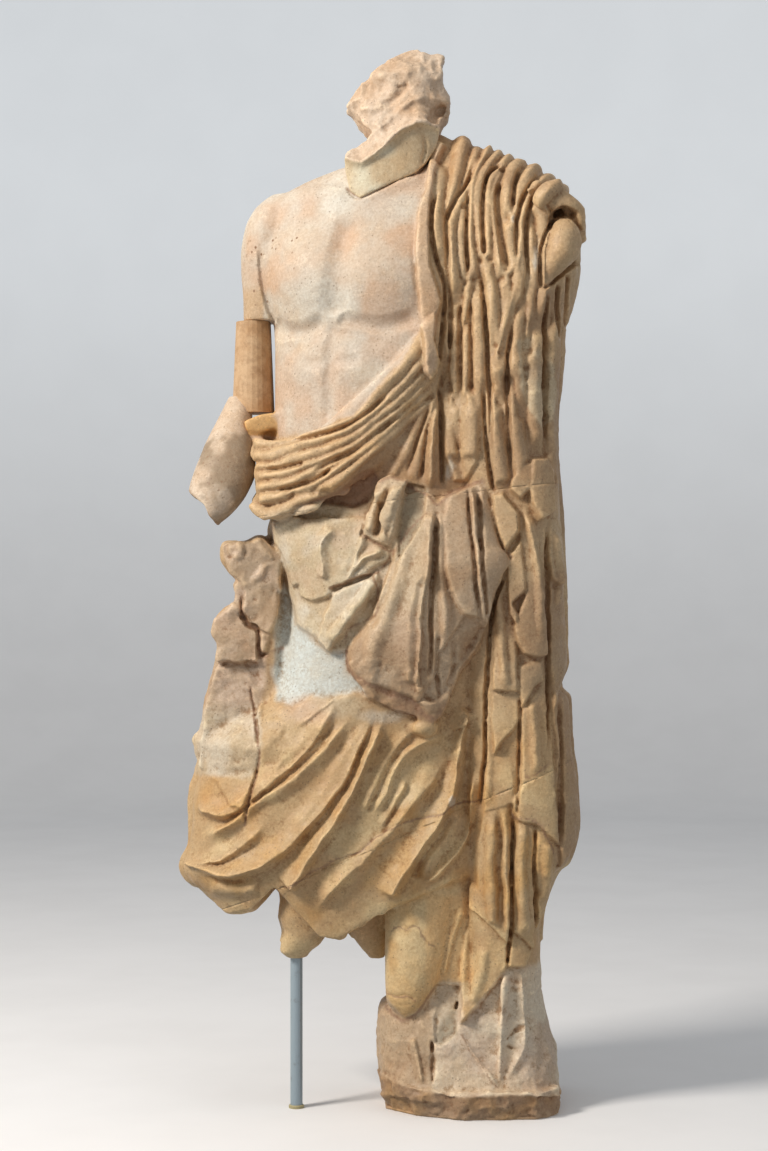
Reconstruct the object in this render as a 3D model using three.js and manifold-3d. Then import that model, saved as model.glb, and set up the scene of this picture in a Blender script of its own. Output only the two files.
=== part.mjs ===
// Draped standing marble figure, broken and put together again: the nude chest, a mantle over the left
// shoulder and round the hips, one calf, a corner of the plinth, and a steel rod that props the hem.
//
// Everything is laid out on the display front: "across" runs to the right as a visitor sees the work,
// "toward" comes out to the visitor, "up" is height above the plinth's underside. All in millimetres.
// The finished group is then turned so that the chest faces -Y.
import * as THREE from 'three';
import { mergeVertices } from 'three/addons/utils/BufferGeometryUtils.js';
import Module from 'manifold-3d';

const wasm = await Module();
wasm.setup();

// Driving sizes
const CHEST_TURN = 25; // degrees between the display front and the chest's own front
const GAP = 0.4; // clearance where two separate pieces meet
const FRONT_CROWDING = 0.38; // 0 spaces the columns of a body evenly, more draws them to its front
const REAR_FOLDS = 11; // plain folds that a whole turn of a body would hold
const ROLL_CENTRE = { across: -200, toward: -20 }; // the axis that the waist roll bends round
const PLINTH_TOP = 50;
const HEM_LOW = 262;
const ROD_ACROSS = -318;
const ROD_TOWARD = 33;
const ROD_RADIUS = 11;
const ROD_TOP = 271;
const COLLAR_RADIUS = 14;
const COLLAR_HEIGHT = 6;
const INFILL_TOP = 1428;
const INFILL_FOOT = 1260;
const INFILL_ACROSS = -401;
const INFILL_TOWARD = -60;

const finishes = {
  marble: { color: 0xa68a66, roughness: 0.75 },
  head: { color: 0xb09472, roughness: 0.8 },
  infill: { color: 0xb27a44, roughness: 0.85 },
  forearm: { color: 0x8f806a, roughness: 0.8 },
  rod: { color: 0x9aa0aa, roughness: 0.4, metalness: 0.6 },
  collar: { color: 0xb09a62, roughness: 0.5, metalness: 0.7 },
};

// ---------------------------------------------------------------- numbers

function clamp(value, low, high) {
  return Math.min(Math.max(value, low), high);
}

function mix(a, b, t) {
  return a + (b - a) * t;
}

function mixPoint(a, b, t) {
  return [mix(a[0], b[0], t), mix(a[1], b[1], t)];
}

function smoothstep(low, high, value) {
  const t = clamp((value - low) / (high - low), 0, 1);
  return t * t * (3 - 2 * t);
}

// A repeatable value from -1 to 1 for a place, used for broken stone.
function chip(x, y, z, seed) {
  const wave = Math.sin(x * 12.9898 + y * 78.233 + z * 37.719 + seed * 4.581) * 43758.5453;
  return (wave - Math.floor(wave)) * 2 - 1;
}

// ---------------------------------------------------------------- solids

function weld(geometry) {
  geometry.deleteAttribute('normal');
  geometry.deleteAttribute('uv');
  return mergeVertices(geometry, 1e-3);
}

function toManifold(geometry) {
  const closed = weld(geometry);
  const mesh = new wasm.Mesh({
    numProp: 3,
    vertProperties: Float32Array.from(closed.attributes.position.array),
    triVerts: Uint32Array.from(closed.index.array),
  });
  return new wasm.Manifold(mesh);
}

function toGeometry(manifold) {
  const mesh = manifold.getMesh();
  const geometry = new THREE.BufferGeometry();
  geometry.setAttribute('position', new THREE.BufferAttribute(Float32Array.from(mesh.vertProperties), 3));
  geometry.setIndex(new THREE.BufferAttribute(Uint32Array.from(mesh.triVerts), 1));
  geometry.computeVertexNormals();
  return geometry;
}

// Sizes at a height, read between the sections of a body: [up, left, right, back, front].
function sectionAt(sections, up) {
  let lower = 0;
  while (lower < sections.length - 2 && sections[lower + 1][0] < up) {
    lower += 1;
  }
  const a = sections[lower];
  const b = sections[lower + 1];
  const t = clamp((up - a[0]) / (b[0] - a[0]), 0, 1);
  return a.map((value, i) => mix(value, b[i], t));
}

// A closed body through sections that are rounded rectangles. turn swings the right side forward, twist
// slants the columns of points so that they run with the cloth, relief(across, up) is carving raised on
// the front, ripple is the depth of plain folds on the sides and the back, and rough breaks the surface.
function body({
  sections,
  around,
  rows,
  squareness = 2.2,
  turn = 0,
  twist = 0,
  relief,
  ripple = 0,
  rough = 0,
  seed = 1,
}) {
  const geometry = weld(new THREE.CylinderGeometry(1, 1, 1, around, rows));
  const points = geometry.attributes.position;
  const foot = sections[0][0];
  const top = sections[sections.length - 1][0];
  const power = 2 / squareness;
  for (let i = 0; i < points.count; i += 1) {
    const up = mix(foot, top, points.getY(i) + 0.5);
    const radius = Math.hypot(points.getX(i), points.getZ(i));
    const even = Math.atan2(points.getX(i), points.getZ(i)) + twist * (up - foot);
    const angle = even - FRONT_CROWDING * Math.sin(even);
    const side = radius * Math.sin(angle);
    const facing = radius * Math.cos(angle);
    const [, left, right, back, front] = sectionAt(sections, up);
    const middle = (left + right) / 2;
    const depth = (back + front) / 2;
    let across = middle + Math.sign(side) * Math.abs(side) ** power * (right - left) / 2;
    let toward = depth + Math.sign(facing) * Math.abs(facing) ** power * (front - back) / 2;
    toward += turn * (across - middle);
    if (relief) {
      toward += relief(across, up) * smoothstep(0.0, 0.45, facing);
    }
    if (ripple > 0) {
      const plain = ripple * (Math.sin(REAR_FOLDS * even) - 1) * smoothstep(0.35, 0, facing);
      across += plain * side;
      toward += plain * facing;
    }
    if (rough > 0 && radius > 0.5) {
      const place = [Math.round(across), Math.round(up), Math.round(toward)];
      across += rough * chip(...place, seed);
      toward += rough * chip(...place, seed + 1);
    }
    points.setXYZ(i, across, -toward, up);
  }
  return toManifold(geometry);
}

// A straight-sided cutter or slab: an outline on the display front, pushed from back to front.
function slabThrough(outline, back, front) {
  const shape = new THREE.Shape(outline.map(([across, up]) => new THREE.Vector2(across, up)));
  const geometry = new THREE.ExtrudeGeometry(shape, { depth: front - back, bevelEnabled: false });
  geometry.rotateX(Math.PI / 2);
  geometry.translate(0, -back, 0);
  return toManifold(geometry);
}

function join(...solids) {
  return solids.reduce((sum, solid) => sum.add(solid));
}

// The space that a separate piece needs in its neighbour.
function roomFor(solid) {
  const shifts = [-GAP, GAP].flatMap((step) => [[step, 0, 0], [0, step, 0], [0, 0, step]]);
  return join(...shifts.map((shift) => solid.translate(shift)));
}

// ---------------------------------------------------------------- carving

// A fold runs along a smooth line through a few [across, up] places. A positive height is a ridge of
// cloth, a negative one a groove. It dies away over the last part of its length.
function fold(places, width, height, fade = 0.18) {
  const curve = new THREE.SplineCurve(places.map(([across, up]) => new THREE.Vector2(across, up)));
  return { line: curve.getPoints(4 * places.length), width, height, fade };
}

// Folds that spread between a first and a last one, each given by the same number of places.
function fan(count, first, last, width, height, fade) {
  const folds = [];
  for (let i = 0; i < count; i += 1) {
    const t = count > 1 ? i / (count - 1) : 0;
    folds.push(fold(first.map((place, k) => mixPoint(place, last[k], t)), width, height, fade));
  }
  return folds;
}

function foldHeight({ line, width, height, fade }, across, up) {
  let best = Infinity;
  let along = 0;
  for (let i = 0; i < line.length - 1; i += 1) {
    const a = line[i];
    const b = line[i + 1];
    const dx = b.x - a.x;
    const dy = b.y - a.y;
    const t = clamp(((across - a.x) * dx + (up - a.y) * dy) / (dx * dx + dy * dy), 0, 1);
    const distance = Math.hypot(across - a.x - t * dx, up - a.y - t * dy);
    if (distance < best) {
      best = distance;
      along = (i + t) / (line.length - 1);
    }
  }
  const profile = Math.max(0, 1 - (best / width) ** 2);
  const ends = Math.min(smoothstep(0, fade, along), smoothstep(0, fade, 1 - along));
  return height * profile * profile * mix(0.25, 1, ends);
}

// Ridges stand side by side, so the highest one shows; so does the deepest groove.
function reliefOf(folds) {
  return (across, up) => {
    let ridge = 0;
    let groove = 0;
    for (const one of folds) {
      const height = foldHeight(one, across, up);
      ridge = Math.max(ridge, height);
      groove = Math.min(groove, height);
    }
    return ridge + groove;
  };
}

function swelling(across, up, [atAcross, atUp], [reachAcross, reachUp], height) {
  const d = Math.hypot((across - atAcross) / reachAcross, (up - atUp) / reachUp);
  return height * Math.max(0, 1 - d * d);
}

// ---------------------------------------------------------------- the marble figure

// The nude chest and belly.
function makeTorso() {
  const sternumAndBelly = fold([[-220, 1626], [-240, 1550], [-248, 1424], [-256, 1234]], 18, -8);
  const chestEdge = fold([[-358, 1414], [-316, 1402], [-254, 1424], [-182, 1408], [-96, 1424]], 20, -10);
  const ribArch = fold([[-334, 1366], [-276, 1394], [-202, 1388], [-128, 1354]], 18, -5);
  const grooves = reliefOf([sternumAndBelly, chestEdge, ribArch]);
  const relief = (across, up) => {
    const chest = swelling(across, up, [-312, 1492], [85, 90], 16) + swelling(across, up, [-160, 1492], [90, 90], 16);
    const belly = swelling(across, up, [-215, 1290], [110, 110], 6);
    return chest + belly + grooves(across, up);
  };
  return body({
    sections: [
      [1030, -366, 60, -130, 112],
      [1130, -364, 20, -124, 108],
      [1270, -360, -15, -105, 108],
      [1320, -360, -10, -108, 110],
      [1370, -360, 5, -112, 112],
      [1420, -363, 25, -118, 114],
      [1480, -380, 45, -124, 116],
      [1550, -388, 55, -124, 108],
      [1610, -385, 55, -118, 92],
      [1655, -352, 30, -100, 74],
      [1682, -302, -20, -85, 60],
      [1704, -240, -70, -60, 40],
    ],
    around: 28,
    rows: 17,
    turn: 0.22,
    relief,
  });
}

// The rolled mantle across the waist: a thick band that runs from the right hip up to the hanging folds,
// its face carved into long cords of cloth that spread toward the hip.
function makeWaistRoll() {
  const cords = 5;
  const stations = 11;
  const around = 26;
  const route = [
    [-392, 1130, -60],
    [-390, 1130, 14],
    [-336, 1134, 78],
    [-258, 1162, 104],
    [-172, 1230, 112],
    [-96, 1318, 108],
    [-40, 1396, 90],
  ];
  const path = new THREE.CatmullRomCurve3(
    route.map(([across, up, toward]) => new THREE.Vector3(across, -toward, up)),
  );
  const geometry = weld(new THREE.CylinderGeometry(1, 1, 1, around, stations));
  const points = geometry.attributes.position;
  const place = new THREE.Vector3();
  const out = new THREE.Vector3();
  const wide = new THREE.Vector3();
  for (let i = 0; i < points.count; i += 1) {
    const t = points.getY(i) + 0.5;
    const radius = Math.hypot(points.getX(i), points.getZ(i));
    const angle = Math.atan2(points.getX(i), points.getZ(i));
    const halfWidth = mix(70, 50, t) * radius;
    path.getPoint(t, place);
    const along = path.getTangent(t);
    out.set(place.x - ROLL_CENTRE.across, place.y + ROLL_CENTRE.toward, 0).normalize();
    wide.crossVectors(out, along).normalize();
    const spread = Math.sin(angle);
    const scallop = 13 * Math.abs(Math.cos(cords * Math.PI * 0.5 * spread)) * smoothstep(0, 0.4, Math.cos(angle));
    const thick = (Math.cos(angle) > 0 ? 16 + scallop : 30) * Math.cos(angle) * radius;
    place.addScaledVector(wide, -halfWidth * spread);
    place.addScaledVector(out, thick);
    points.setXYZ(i, place.x, place.y, place.z);
  }
  return toManifold(geometry);
}

// What is left of the right shoulder and upper arm, cut off level for the infill.
function makeRightShoulder() {
  return body({
    sections: [
      [INFILL_TOP + GAP, -404, -330, -106, -18],
      [1478, -404, -330, -110, -14],
      [1508, -421, -322, -120, -4],
      [1546, -424, -310, -126, 4],
      [1600, -416, -300, -126, 6],
      [1636, -398, -290, -118, -4],
      [1662, -368, -300, -100, -30],
    ],
    around: 18,
    rows: 11,
  });
}

// The mantle that hangs from the left shoulder to the ground, with its deep upright folds.
function makeFall() {
  const lapel = fold([[-72, 1740], [-92, 1600], [-90, 1520], [-80, 1440], [-82, 1380], [-78, 1312]], 24, 22);
  const shoulderFolds = fan(
    6,
    [[-40, 1745], [-46, 1600], [-44, 1400], [-36, 1240]],
    [[150, 1650], [166, 1560], [156, 1350], [146, 1150]],
    20,
    26,
  );
  const lowFolds = fan(4, [[20, 1120], [30, 980], [34, 800]], [[140, 1120], [136, 960], [132, 760]], 22, 24);
  const hemFolds = fan(4, [[30, 720], [36, 540], [30, 345]], [[138, 760], [126, 600], [110, 440]], 21, 22);
  const footFolds = fan(3, [[0, 420], [-6, 300], [-4, 230]], [[90, 420], [92, 340], [96, 280]], 22, 18);
  const deepGrooves = [
    fold([[40, 960], [36, 860], [38, 745]], 13, -26),
    fold([[66, 550], [65, 400], [64, 276]], 12, -28),
    fold([[-30, 1690], [-26, 1400], [-14, 1180]], 10, -14),
    fold([[76, 1690], [78, 1450], [72, 1100]], 12, -16),
  ];
  const relief = reliefOf([
    lapel,
    ...shoulderFolds,
    ...lowFolds,
    ...hemFolds,
    ...footFolds,
    ...deepGrooves,
  ]);
  return body({
    sections: [
      [150, -60, 132, -132, 80],
      [268, -24, 124, -128, 84],
      [354, -26, 126, -132, 92],
      [384, -26, 136, -136, 96],
      [428, -30, 156, -140, 100],
      [440, -32, 172, -142, 102],
      [504, -36, 188, -145, 106],
      [600, -40, 184, -148, 112],
      [650, -40, 177, -150, 114],
      [742, -40, 172, -150, 118],
      [756, -40, 155, -150, 120],
      [800, -40, 168, -150, 122],
      [940, -30, 165, -150, 128],
      [1060, -20, 160, -150, 134],
      [1150, -50, 156, -150, 138],
      [1240, -70, 155, -148, 138],
      [1306, -84, 160, -145, 136],
      [1386, -94, 163, -142, 134],
      [1450, -96, 182, -140, 132],
      [1530, -104, 194, -140, 124],
      [1618, -102, 194, -138, 106],
      [1650, -98, 176, -132, 94],
      [1680, -96, 148, -124, 80],
      [1706, -94, 104, -114, 66],
      [1732, -90, 36, -96, 48],
      [1750, -84, -24, -80, 30],
      [1764, -74, -52, -50, 5],
    ],
    around: 32,
    rows: 32,
    squareness: 2.6,
    turn: 0.08,
    relief,
    ripple: 9,
  });
}

// The stump of the left arm, under the cloth that caps it.
function makeLeftArmStump() {
  return body({
    sections: [
      [1486, 148, 176, 20, 96],
      [1510, 136, 188, 10, 120],
      [1550, 132, 190, 10, 128],
      [1590, 138, 188, 10, 118],
      [1612, 150, 178, 20, 92],
    ],
    around: 14,
    rows: 6,
  });
}

// The mantle round the thighs, swept down to the figure's right, with its slanting hem.
function makeSkirt() {
  const sweeps = [
    fold([[-244, 664], [-318, 590], [-382, 552], [-440, 536], [-496, 542]], 26, 26),
    fold([[-270, 620], [-340, 560], [-400, 525], [-486, 496]], 18, 14),
    fold([[-216, 690], [-266, 560], [-330, 478], [-396, 440], [-512, 434]], 28, 26),
    fold([[-176, 654], [-220, 566], [-268, 490], [-332, 412]], 26, 24),
    fold([[-176, 476], [-228, 416], [-272, 372]], 24, 18),
    fold([[-130, 690], [-194, 620], [-238, 540], [-290, 440]], 22, 20),
    fold([[-100, 670], [-130, 600], [-172, 500], [-225, 390]], 24, 20),
    fold([[-50, 640], [-92, 560], [-140, 470], [-180, 385]], 24, 20),
    fold([[-2, 720], [-32, 630], [-60, 545], [-110, 465], [-156, 392]], 24, 28),
    fold([[10, 560], [-18, 490], [-60, 430]], 22, 18),
    fold([[-440, 640], [-462, 560], [-500, 450]], 20, 10),
    fold([[-330, 900], [-300, 820], [-250, 760]], 24, 10),
  ];
  const knee = (across, up) => swelling(across, up, [-150, 620], [190, 240], 14);
  const carved = reliefOf(sweeps);
  const cloth = body({
    sections: [
      [HEM_LOW, -440, 30, -120, 96],
      [330, -460, 50, -130, 104],
      [358, -470, 60, -134, 108],
      [386, -492, 60, -138, 112],
      [410, -518, 60, -140, 114],
      [428, -527, 60, -142, 116],
      [474, -514, 60, -145, 118],
      [564, -507, 60, -150, 120],
      [618, -494, 60, -150, 120],
      [655, -500, 60, -150, 120],
      [690, -460, 60, -150, 120],
      [740, -376, 60, -150, 122],
      [800, -352, 60, -148, 124],
      [870, -338, 60, -146, 128],
      [930, -334, 60, -142, 128],
      [1016, -360, 60, -138, 122],
      [1060, -368, 60, -132, 112],
    ],
    around: 36,
    rows: 16,
    twist: 0.0026,
    squareness: 2.1,
    relief: (across, up) => knee(across, up) + carved(across, up),
    ripple: 9,
  });
  const hem = [
    [-600, 330], [-500, 398], [-486, 386], [-458, 358], [-442, 350], [-398, 362], [-382, 378],
    [-354, 408], [-330, 380], [-276, 318], [-242, 312], [-204, 336], [-158, 364], [-120, 380],
    [-36, 416], [40, 430], [200, 430], [200, 100], [-600, 100],
  ];
  return cloth.subtract(slabThrough(hem, -300, 300));
}

// The doubled cloth that hangs over the belly, ending in a broken point.
function makeApron() {
  const relief = reliefOf([
    ...fan(3, [[-80, 1090], [-96, 960], [-100, 760]], [[12, 1110], [30, 1000], [16, 880]], 17, 16),
    fold([[-150, 1060], [-176, 930], [-200, 820]], 18, 12),
    fold([[-130, 1050], [-140, 920], [-150, 780]], 16, 10),
    fold([[-64, 1060], [-72, 900], [-80, 740]], 9, -14),
    fold([[-40, 980], [-42, 900], [-44, 850]], 9, -12),
  ]);
  return body({
    sections: [
      [700, -88, -70, 40, 128],
      [722, -106, -62, 40, 140],
      [746, -146, -44, 40, 146],
      [770, -188, -34, 40, 150],
      [792, -222, -22, 40, 152],
      [828, -226, 4, 40, 156],
      [888, -184, 28, 40, 160],
      [932, -170, 34, 40, 162],
      [990, -148, 64, 40, 160],
      [1014, -148, 44, 40, 158],
      [1060, -156, 34, 40, 152],
      [1124, -172, 22, 40, 138],
    ],
    around: 18,
    rows: 13,
    squareness: 3,
    relief,
    rough: 1.5,
  });
}

// The rolled edge of the mantle at the right hip, a broken fragment set back in its place.
function makeHipFragment() {
  const relief = reliefOf([
    fold([[-440, 1000], [-410, 950], [-400, 880]], 18, 16),
    fold([[-380, 1000], [-370, 930], [-372, 870]], 14, 14),
    fold([[-410, 890], [-420, 800], [-440, 700]], 20, 16),
  ]);
  return body({
    sections: [
      [620, -498, -372, -90, 40],
      [668, -490, -374, -90, 46],
      [714, -486, -372, -88, 48],
      [766, -474, -366, -86, 46],
      [802, -458, -362, -84, 42],
      [838, -459, -360, -84, 40],
      [870, -470, -352, -82, 40],
      [890, -458, -344, -80, 38],
      [904, -436, -340, -78, 36],
      [938, -432, -338, -76, 36],
      [968, -440, -338, -72, 36],
      [990, -456, -342, -66, 34],
      [1012, -456, -364, -58, 26],
      [1022, -448, -382, -40, 10],
    ],
    around: 16,
    rows: 15,
    squareness: 2.6,
    relief,
    rough: 3,
    seed: 7,
  });
}

// The pointed piece of hem over the rod, with a level seat for the rod's end, and its broken neighbour.
function makePlasterFill() {
  return body({
    sections: [
      [700, -410, -300, -110, 30],
      [800, -385, -300, -112, 26],
      [880, -372, -300, -112, 16],
      [950, -362, -310, -108, 0],
      [990, -356, -320, -100, -10],
    ],
    around: 8,
    rows: 3,
  });
}

function makeHemFragments() {
  const overRod = body({
    sections: [
      [ROD_TOP + GAP, -335, -300, 12, 54],
      [284, -349, -292, 4, 66],
      [300, -345, -272, 0, 74],
      [318, -340, -264, -4, 80],
      [346, -350, -258, -8, 84],
      [386, -341, -250, -12, 88],
      [430, -346, -240, -16, 92],
    ],
    around: 14,
    rows: 7,
    squareness: 2.4,
  });
  const behind = body({
    sections: [
      [HEM_LOW, -186, -158, -40, 0],
      [300, -216, -152, -52, 20],
      [350, -244, -140, -60, 30],
      [400, -250, -120, -60, 30],
    ],
    around: 10,
    rows: 3,
  });
  return [overRod, behind];
}

// The one calf that is left, broken off above the ankle.
function makeCalf() {
  return body({
    sections: [
      [160, -124, -86, 30, 72],
      [176, -128, -76, 22, 88],
      [212, -156, -66, 8, 100],
      [268, -156, -48, -4, 108],
      [320, -158, -38, -10, 112],
      [380, -160, -24, -14, 110],
      [440, -166, -6, -16, 104],
    ],
    around: 20,
    rows: 10,
  });
}

// The support below, worked rough, on its corner of the plinth.
function makeClothBehindCalf() {
  return body({
    sections: [
      [170, -90, 10, -120, 6],
      [300, -84, 4, -120, 10],
      [460, -90, 0, -120, 10],
    ],
    around: 8,
    rows: 1,
  });
}

function makeFoot() {
  const block = body({
    sections: [
      [PLINTH_TOP - 8, -164, 160, -148, 98],
      [90, -170, 156, -146, 92],
      [128, -173, 144, -142, 86],
      [168, -170, 134, -138, 76],
      [190, -150, 130, -136, 66],
      [232, -96, 126, -134, 52],
      [290, -40, 124, -130, 50],
    ],
    around: 22,
    rows: 9,
    squareness: 3,
    rough: 4,
    seed: 3,
    relief: reliefOf([
      fold([[-72, 156], [-74, 110], [-76, 70]], 12, -20),
      fold([[50, 262], [48, 170], [50, 74]], 12, -18),
      fold([[-22, 168], [10, 120], [44, 66]], 14, 14),
    ]),
  });
  const outline = [[-160, -140], [152, -148], [153, 90], [112, 134], [-20, 141], [-108, 104], [-160, 52]];
  const shape = new THREE.Shape(outline.map(([across, toward]) => new THREE.Vector2(across, -toward)));
  const plinth = new THREE.ExtrudeGeometry(shape, { depth: PLINTH_TOP, bevelEnabled: false });
  return [block, toManifold(plinth)];
}

// The stub of marble that once tied the forearm to the hip.
function makeStrut() {
  const outline = [[-414, 1241], [-386, 1252], [-350, 1256], [-345, 1226], [-388, 1219], [-409, 1223]];
  return slabThrough(outline, -48, 10);
}

// ---------------------------------------------------------------- separate pieces

function makeNeckAndHead() {
  return body({
    sections: [
      [1634, -214, -192, 20, 88],
      [1652, -223, -172, -20, 92],
      [1668, -227, -132, -50, 90],
      [1686, -229, -104, -66, 86],
      [1708, -229, -86, -74, 80],
      [1724, -214, -72, -76, 72],
      [1742, -198, -64, -76, 56],
      [1760, -181, -63, -76, 40],
      [1776, -198, -60, -78, 34],
      [1800, -217, -46, -80, 34],
      [1814, -226, -42, -80, 36],
      [1834, -213, -43, -78, 34],
      [1854, -194, -54, -72, 28],
      [1880, -166, -55, -64, 22],
      [1898, -138, -53, -56, 14],
      [1910, -121, -56, -48, 8],
      [1924, -110, -88, -34, -6],
    ],
    around: 16,
    rows: 17,
    squareness: 2.5,
    rough: 2,
    seed: 11,
  });
}

function makeInfill() {
  const height = INFILL_TOP - INFILL_FOOT;
  const geometry = new THREE.CylinderGeometry(32, 39, height, 24, 1);
  geometry.rotateX(Math.PI / 2);
  geometry.scale(1, 1.15, 1);
  geometry.translate(INFILL_ACROSS, -INFILL_TOWARD, INFILL_FOOT + height / 2);
  return toManifold(geometry);
}

function makeForearm() {
  return body({
    sections: [
      [1052, -464, -448, 26, 44],
      [1066, -473, -438, 6, 62],
      [1086, -486, -424, -10, 74],
      [1112, -510, -408, -22, 78],
      [1148, -498, -398, -40, 66],
      [1198, -479, -403, -68, 38],
      [1236, -466, -404, -92, 8],
      [INFILL_FOOT - GAP, -440, -372, -104, -24],
    ],
    around: 16,
    rows: 10,
    squareness: 2.3,
    rough: 1,
    seed: 5,
  });
}

function makeRod() {
  const geometry = new THREE.CylinderGeometry(ROD_RADIUS, ROD_RADIUS, ROD_TOP, 20, 1);
  geometry.rotateX(Math.PI / 2);
  geometry.translate(ROD_ACROSS, -ROD_TOWARD, ROD_TOP / 2);
  return geometry;
}

function makeCollar() {
  const inner = ROD_RADIUS + GAP;
  const profile = [
    [inner, 0],
    [COLLAR_RADIUS, 0],
    [COLLAR_RADIUS, COLLAR_HEIGHT - 1.5],
    [COLLAR_RADIUS - 1.5, COLLAR_HEIGHT],
    [inner, COLLAR_HEIGHT],
    [inner, 0],
  ].map(([radius, up]) => new THREE.Vector2(radius, up));
  const geometry = new THREE.LatheGeometry(profile, 16);
  geometry.rotateX(Math.PI / 2);
  geometry.translate(ROD_ACROSS, -ROD_TOWARD, 0);
  return geometry;
}

// ---------------------------------------------------------------- the whole

const figureParts = join(
  makeTorso(),
  makeWaistRoll(),
  makeRightShoulder(),
  makeFall(),
  makeLeftArmStump(),
  makeSkirt(),
  makeApron(),
  makeHipFragment(),
  makePlasterFill(),
  ...makeHemFragments(),
  makeClothBehindCalf(),
  makeCalf(),
  ...makeFoot(),
  makeStrut(),
);
const neckAndHead = makeNeckAndHead();
const infill = makeInfill();
const forearm = makeForearm();
const figure = [neckAndHead, infill, forearm].reduce((rest, piece) => rest.subtract(roomFor(piece)), figureParts);

const statue = new THREE.Group();
statue.rotation.z = THREE.MathUtils.degToRad(CHEST_TURN);

function addPiece(name, geometry, finish) {
  const piece = new THREE.Mesh(geometry, new THREE.MeshStandardMaterial(finishes[finish]));
  piece.name = name;
  statue.add(piece);
}

addPiece('marble_figure', toGeometry(figure), 'marble');
addPiece('neck_and_head_stump', toGeometry(neckAndHead), 'head');
addPiece('right_arm_infill', toGeometry(infill), 'infill');
addPiece('right_forearm', toGeometry(forearm), 'forearm');
addPiece('support_rod', makeRod(), 'rod');
addPiece('rod_foot', makeCollar(), 'collar');

export default statue;
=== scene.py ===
import math

import bmesh
import bpy
import numpy as np
from mathutils import Matrix, Vector
from mathutils.kdtree import KDTree


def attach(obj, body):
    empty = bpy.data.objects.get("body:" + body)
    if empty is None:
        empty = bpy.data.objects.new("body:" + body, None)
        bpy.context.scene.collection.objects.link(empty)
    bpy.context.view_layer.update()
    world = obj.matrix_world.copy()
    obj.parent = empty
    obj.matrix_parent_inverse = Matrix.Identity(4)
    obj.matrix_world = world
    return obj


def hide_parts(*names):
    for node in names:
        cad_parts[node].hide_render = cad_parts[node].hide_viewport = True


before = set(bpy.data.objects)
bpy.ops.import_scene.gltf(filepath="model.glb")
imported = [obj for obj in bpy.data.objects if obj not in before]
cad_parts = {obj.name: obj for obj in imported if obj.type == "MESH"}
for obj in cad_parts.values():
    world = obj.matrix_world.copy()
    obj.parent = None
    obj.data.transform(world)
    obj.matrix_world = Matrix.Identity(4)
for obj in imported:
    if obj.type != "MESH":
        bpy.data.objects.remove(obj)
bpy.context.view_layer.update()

# The figure is carved on its display front: "across" runs to the right as a visitor sees it, "toward"
# comes out to the visitor and "up" is height over the plinth's underside, all in millimetres. The
# finished marble is turned so that its chest faces -Y, as the frame has it.
CHEST_TURN = math.radians(25.0)
MM = 0.001
UNION_VOXEL = 3.8  # grid on which the big forms grow together
CARVING_VOXEL = 2.4  # grid that holds the carving
FOREARM_VOXEL = 2.6
MOST_TRIANGLES = 194000  # in one piece
WAIST_BREAK = ((-370, 1067), (-0.11, 1))  # the old breaks across the figure: a place on each, its direction
KNEE_BREAK = ((10, 559), (-0.435, 1))
BREAK_LINE = (  # the slanting break over the neck: across, up
    (-232, -214, -200, -178, -156, -131, -102, -84, -60),
    (1710, 1701, 1698, 1712, 1728, 1754, 1769, 1769, 1760),
)
HEAD_TOP = 1926
RELIEF = {  # how strongly each region's folds and flaps are carved
    "fall": 1.2, "roll": 1.3, "skirt": 1.3, "hip": 1.5, "apron": 1.4, "side": 1.5,
}
SUNK = {"plaster": 9, "red_break": 5, "pitted": 7, "grey_patch": 9, "broken_apron": 9}  # mm below the skin
LAPEL_HEIGHT = 20
STUMP_HEIGHT = 8.0
REAR_FOLD = 7  # height of the plain folds on the back
REAR_FOLD_TURNS = 17

# The studio, in metres unless a line says otherwise.
FLOOR_REACH = 5.0
SWEEP_RADIUS = 2.0
WALL_TOP = 7.0
WALL_GLOW = 0.27
DAYLIGHT = 0.36
VISITOR = (-160.0, 4155.0, 960.6)  # where the visitor's eye is: across, toward, up, in millimetres
AIM = (-160, 0, 1000)  # what the lamps point at
LENS = 71.4  # millimetres, for an upright picture 36 millimetres high
LAMPS = [  # name, place in millimetres, power, size, colour
    ("key", (-3100, 1900, 3200), 172, 1.0, (1.0, 0.95, 0.88)),
    ("fill", (2600, 2600, 1500), 8, 2.5, (0.9, 0.95, 1.0)),
    ("top", (-300, 500, 4200), 16, 2.0, (1.0, 0.98, 0.95)),
]


# ------------------------------------------------------------------------------------------ numbers

def smoothstep(low, high, value):
    """0 at `low`, 1 at `high`, with a soft start and end."""
    t = np.clip((value - low) / (high - low), 0.0, 1.0)
    return t * t * (3.0 - 2.0 * t)


def blend(a, b, t):
    return a + (b - a) * t


def curve_through(x, xs, ys):
    """A smooth curve through stations that never swings past them."""
    step = np.diff(xs)
    slope = np.diff(ys) / step
    tangent = np.zeros(len(xs))
    same = slope[:-1] * slope[1:] > 0
    middle = np.zeros(len(slope) - 1)
    both = slope[:-1] + slope[1:]
    middle[same] = 2.0 * slope[:-1][same] * slope[1:][same] / both[same]
    tangent[1:-1] = middle
    tangent[0], tangent[-1] = slope[0], slope[-1]
    i = np.clip(np.searchsorted(xs, x) - 1, 0, len(xs) - 2)
    t = np.clip((x - xs[i]) / step[i], 0.0, 1.0)
    rise = (2 * t**3 - 3 * t**2 + 1) * ys[i] + (3 * t**2 - 2 * t**3) * ys[i + 1]
    swing = (t**3 - 2 * t**2 + t) * tangent[i] + (t**3 - t**2) * tangent[i + 1]
    return rise + swing * step[i]


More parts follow.
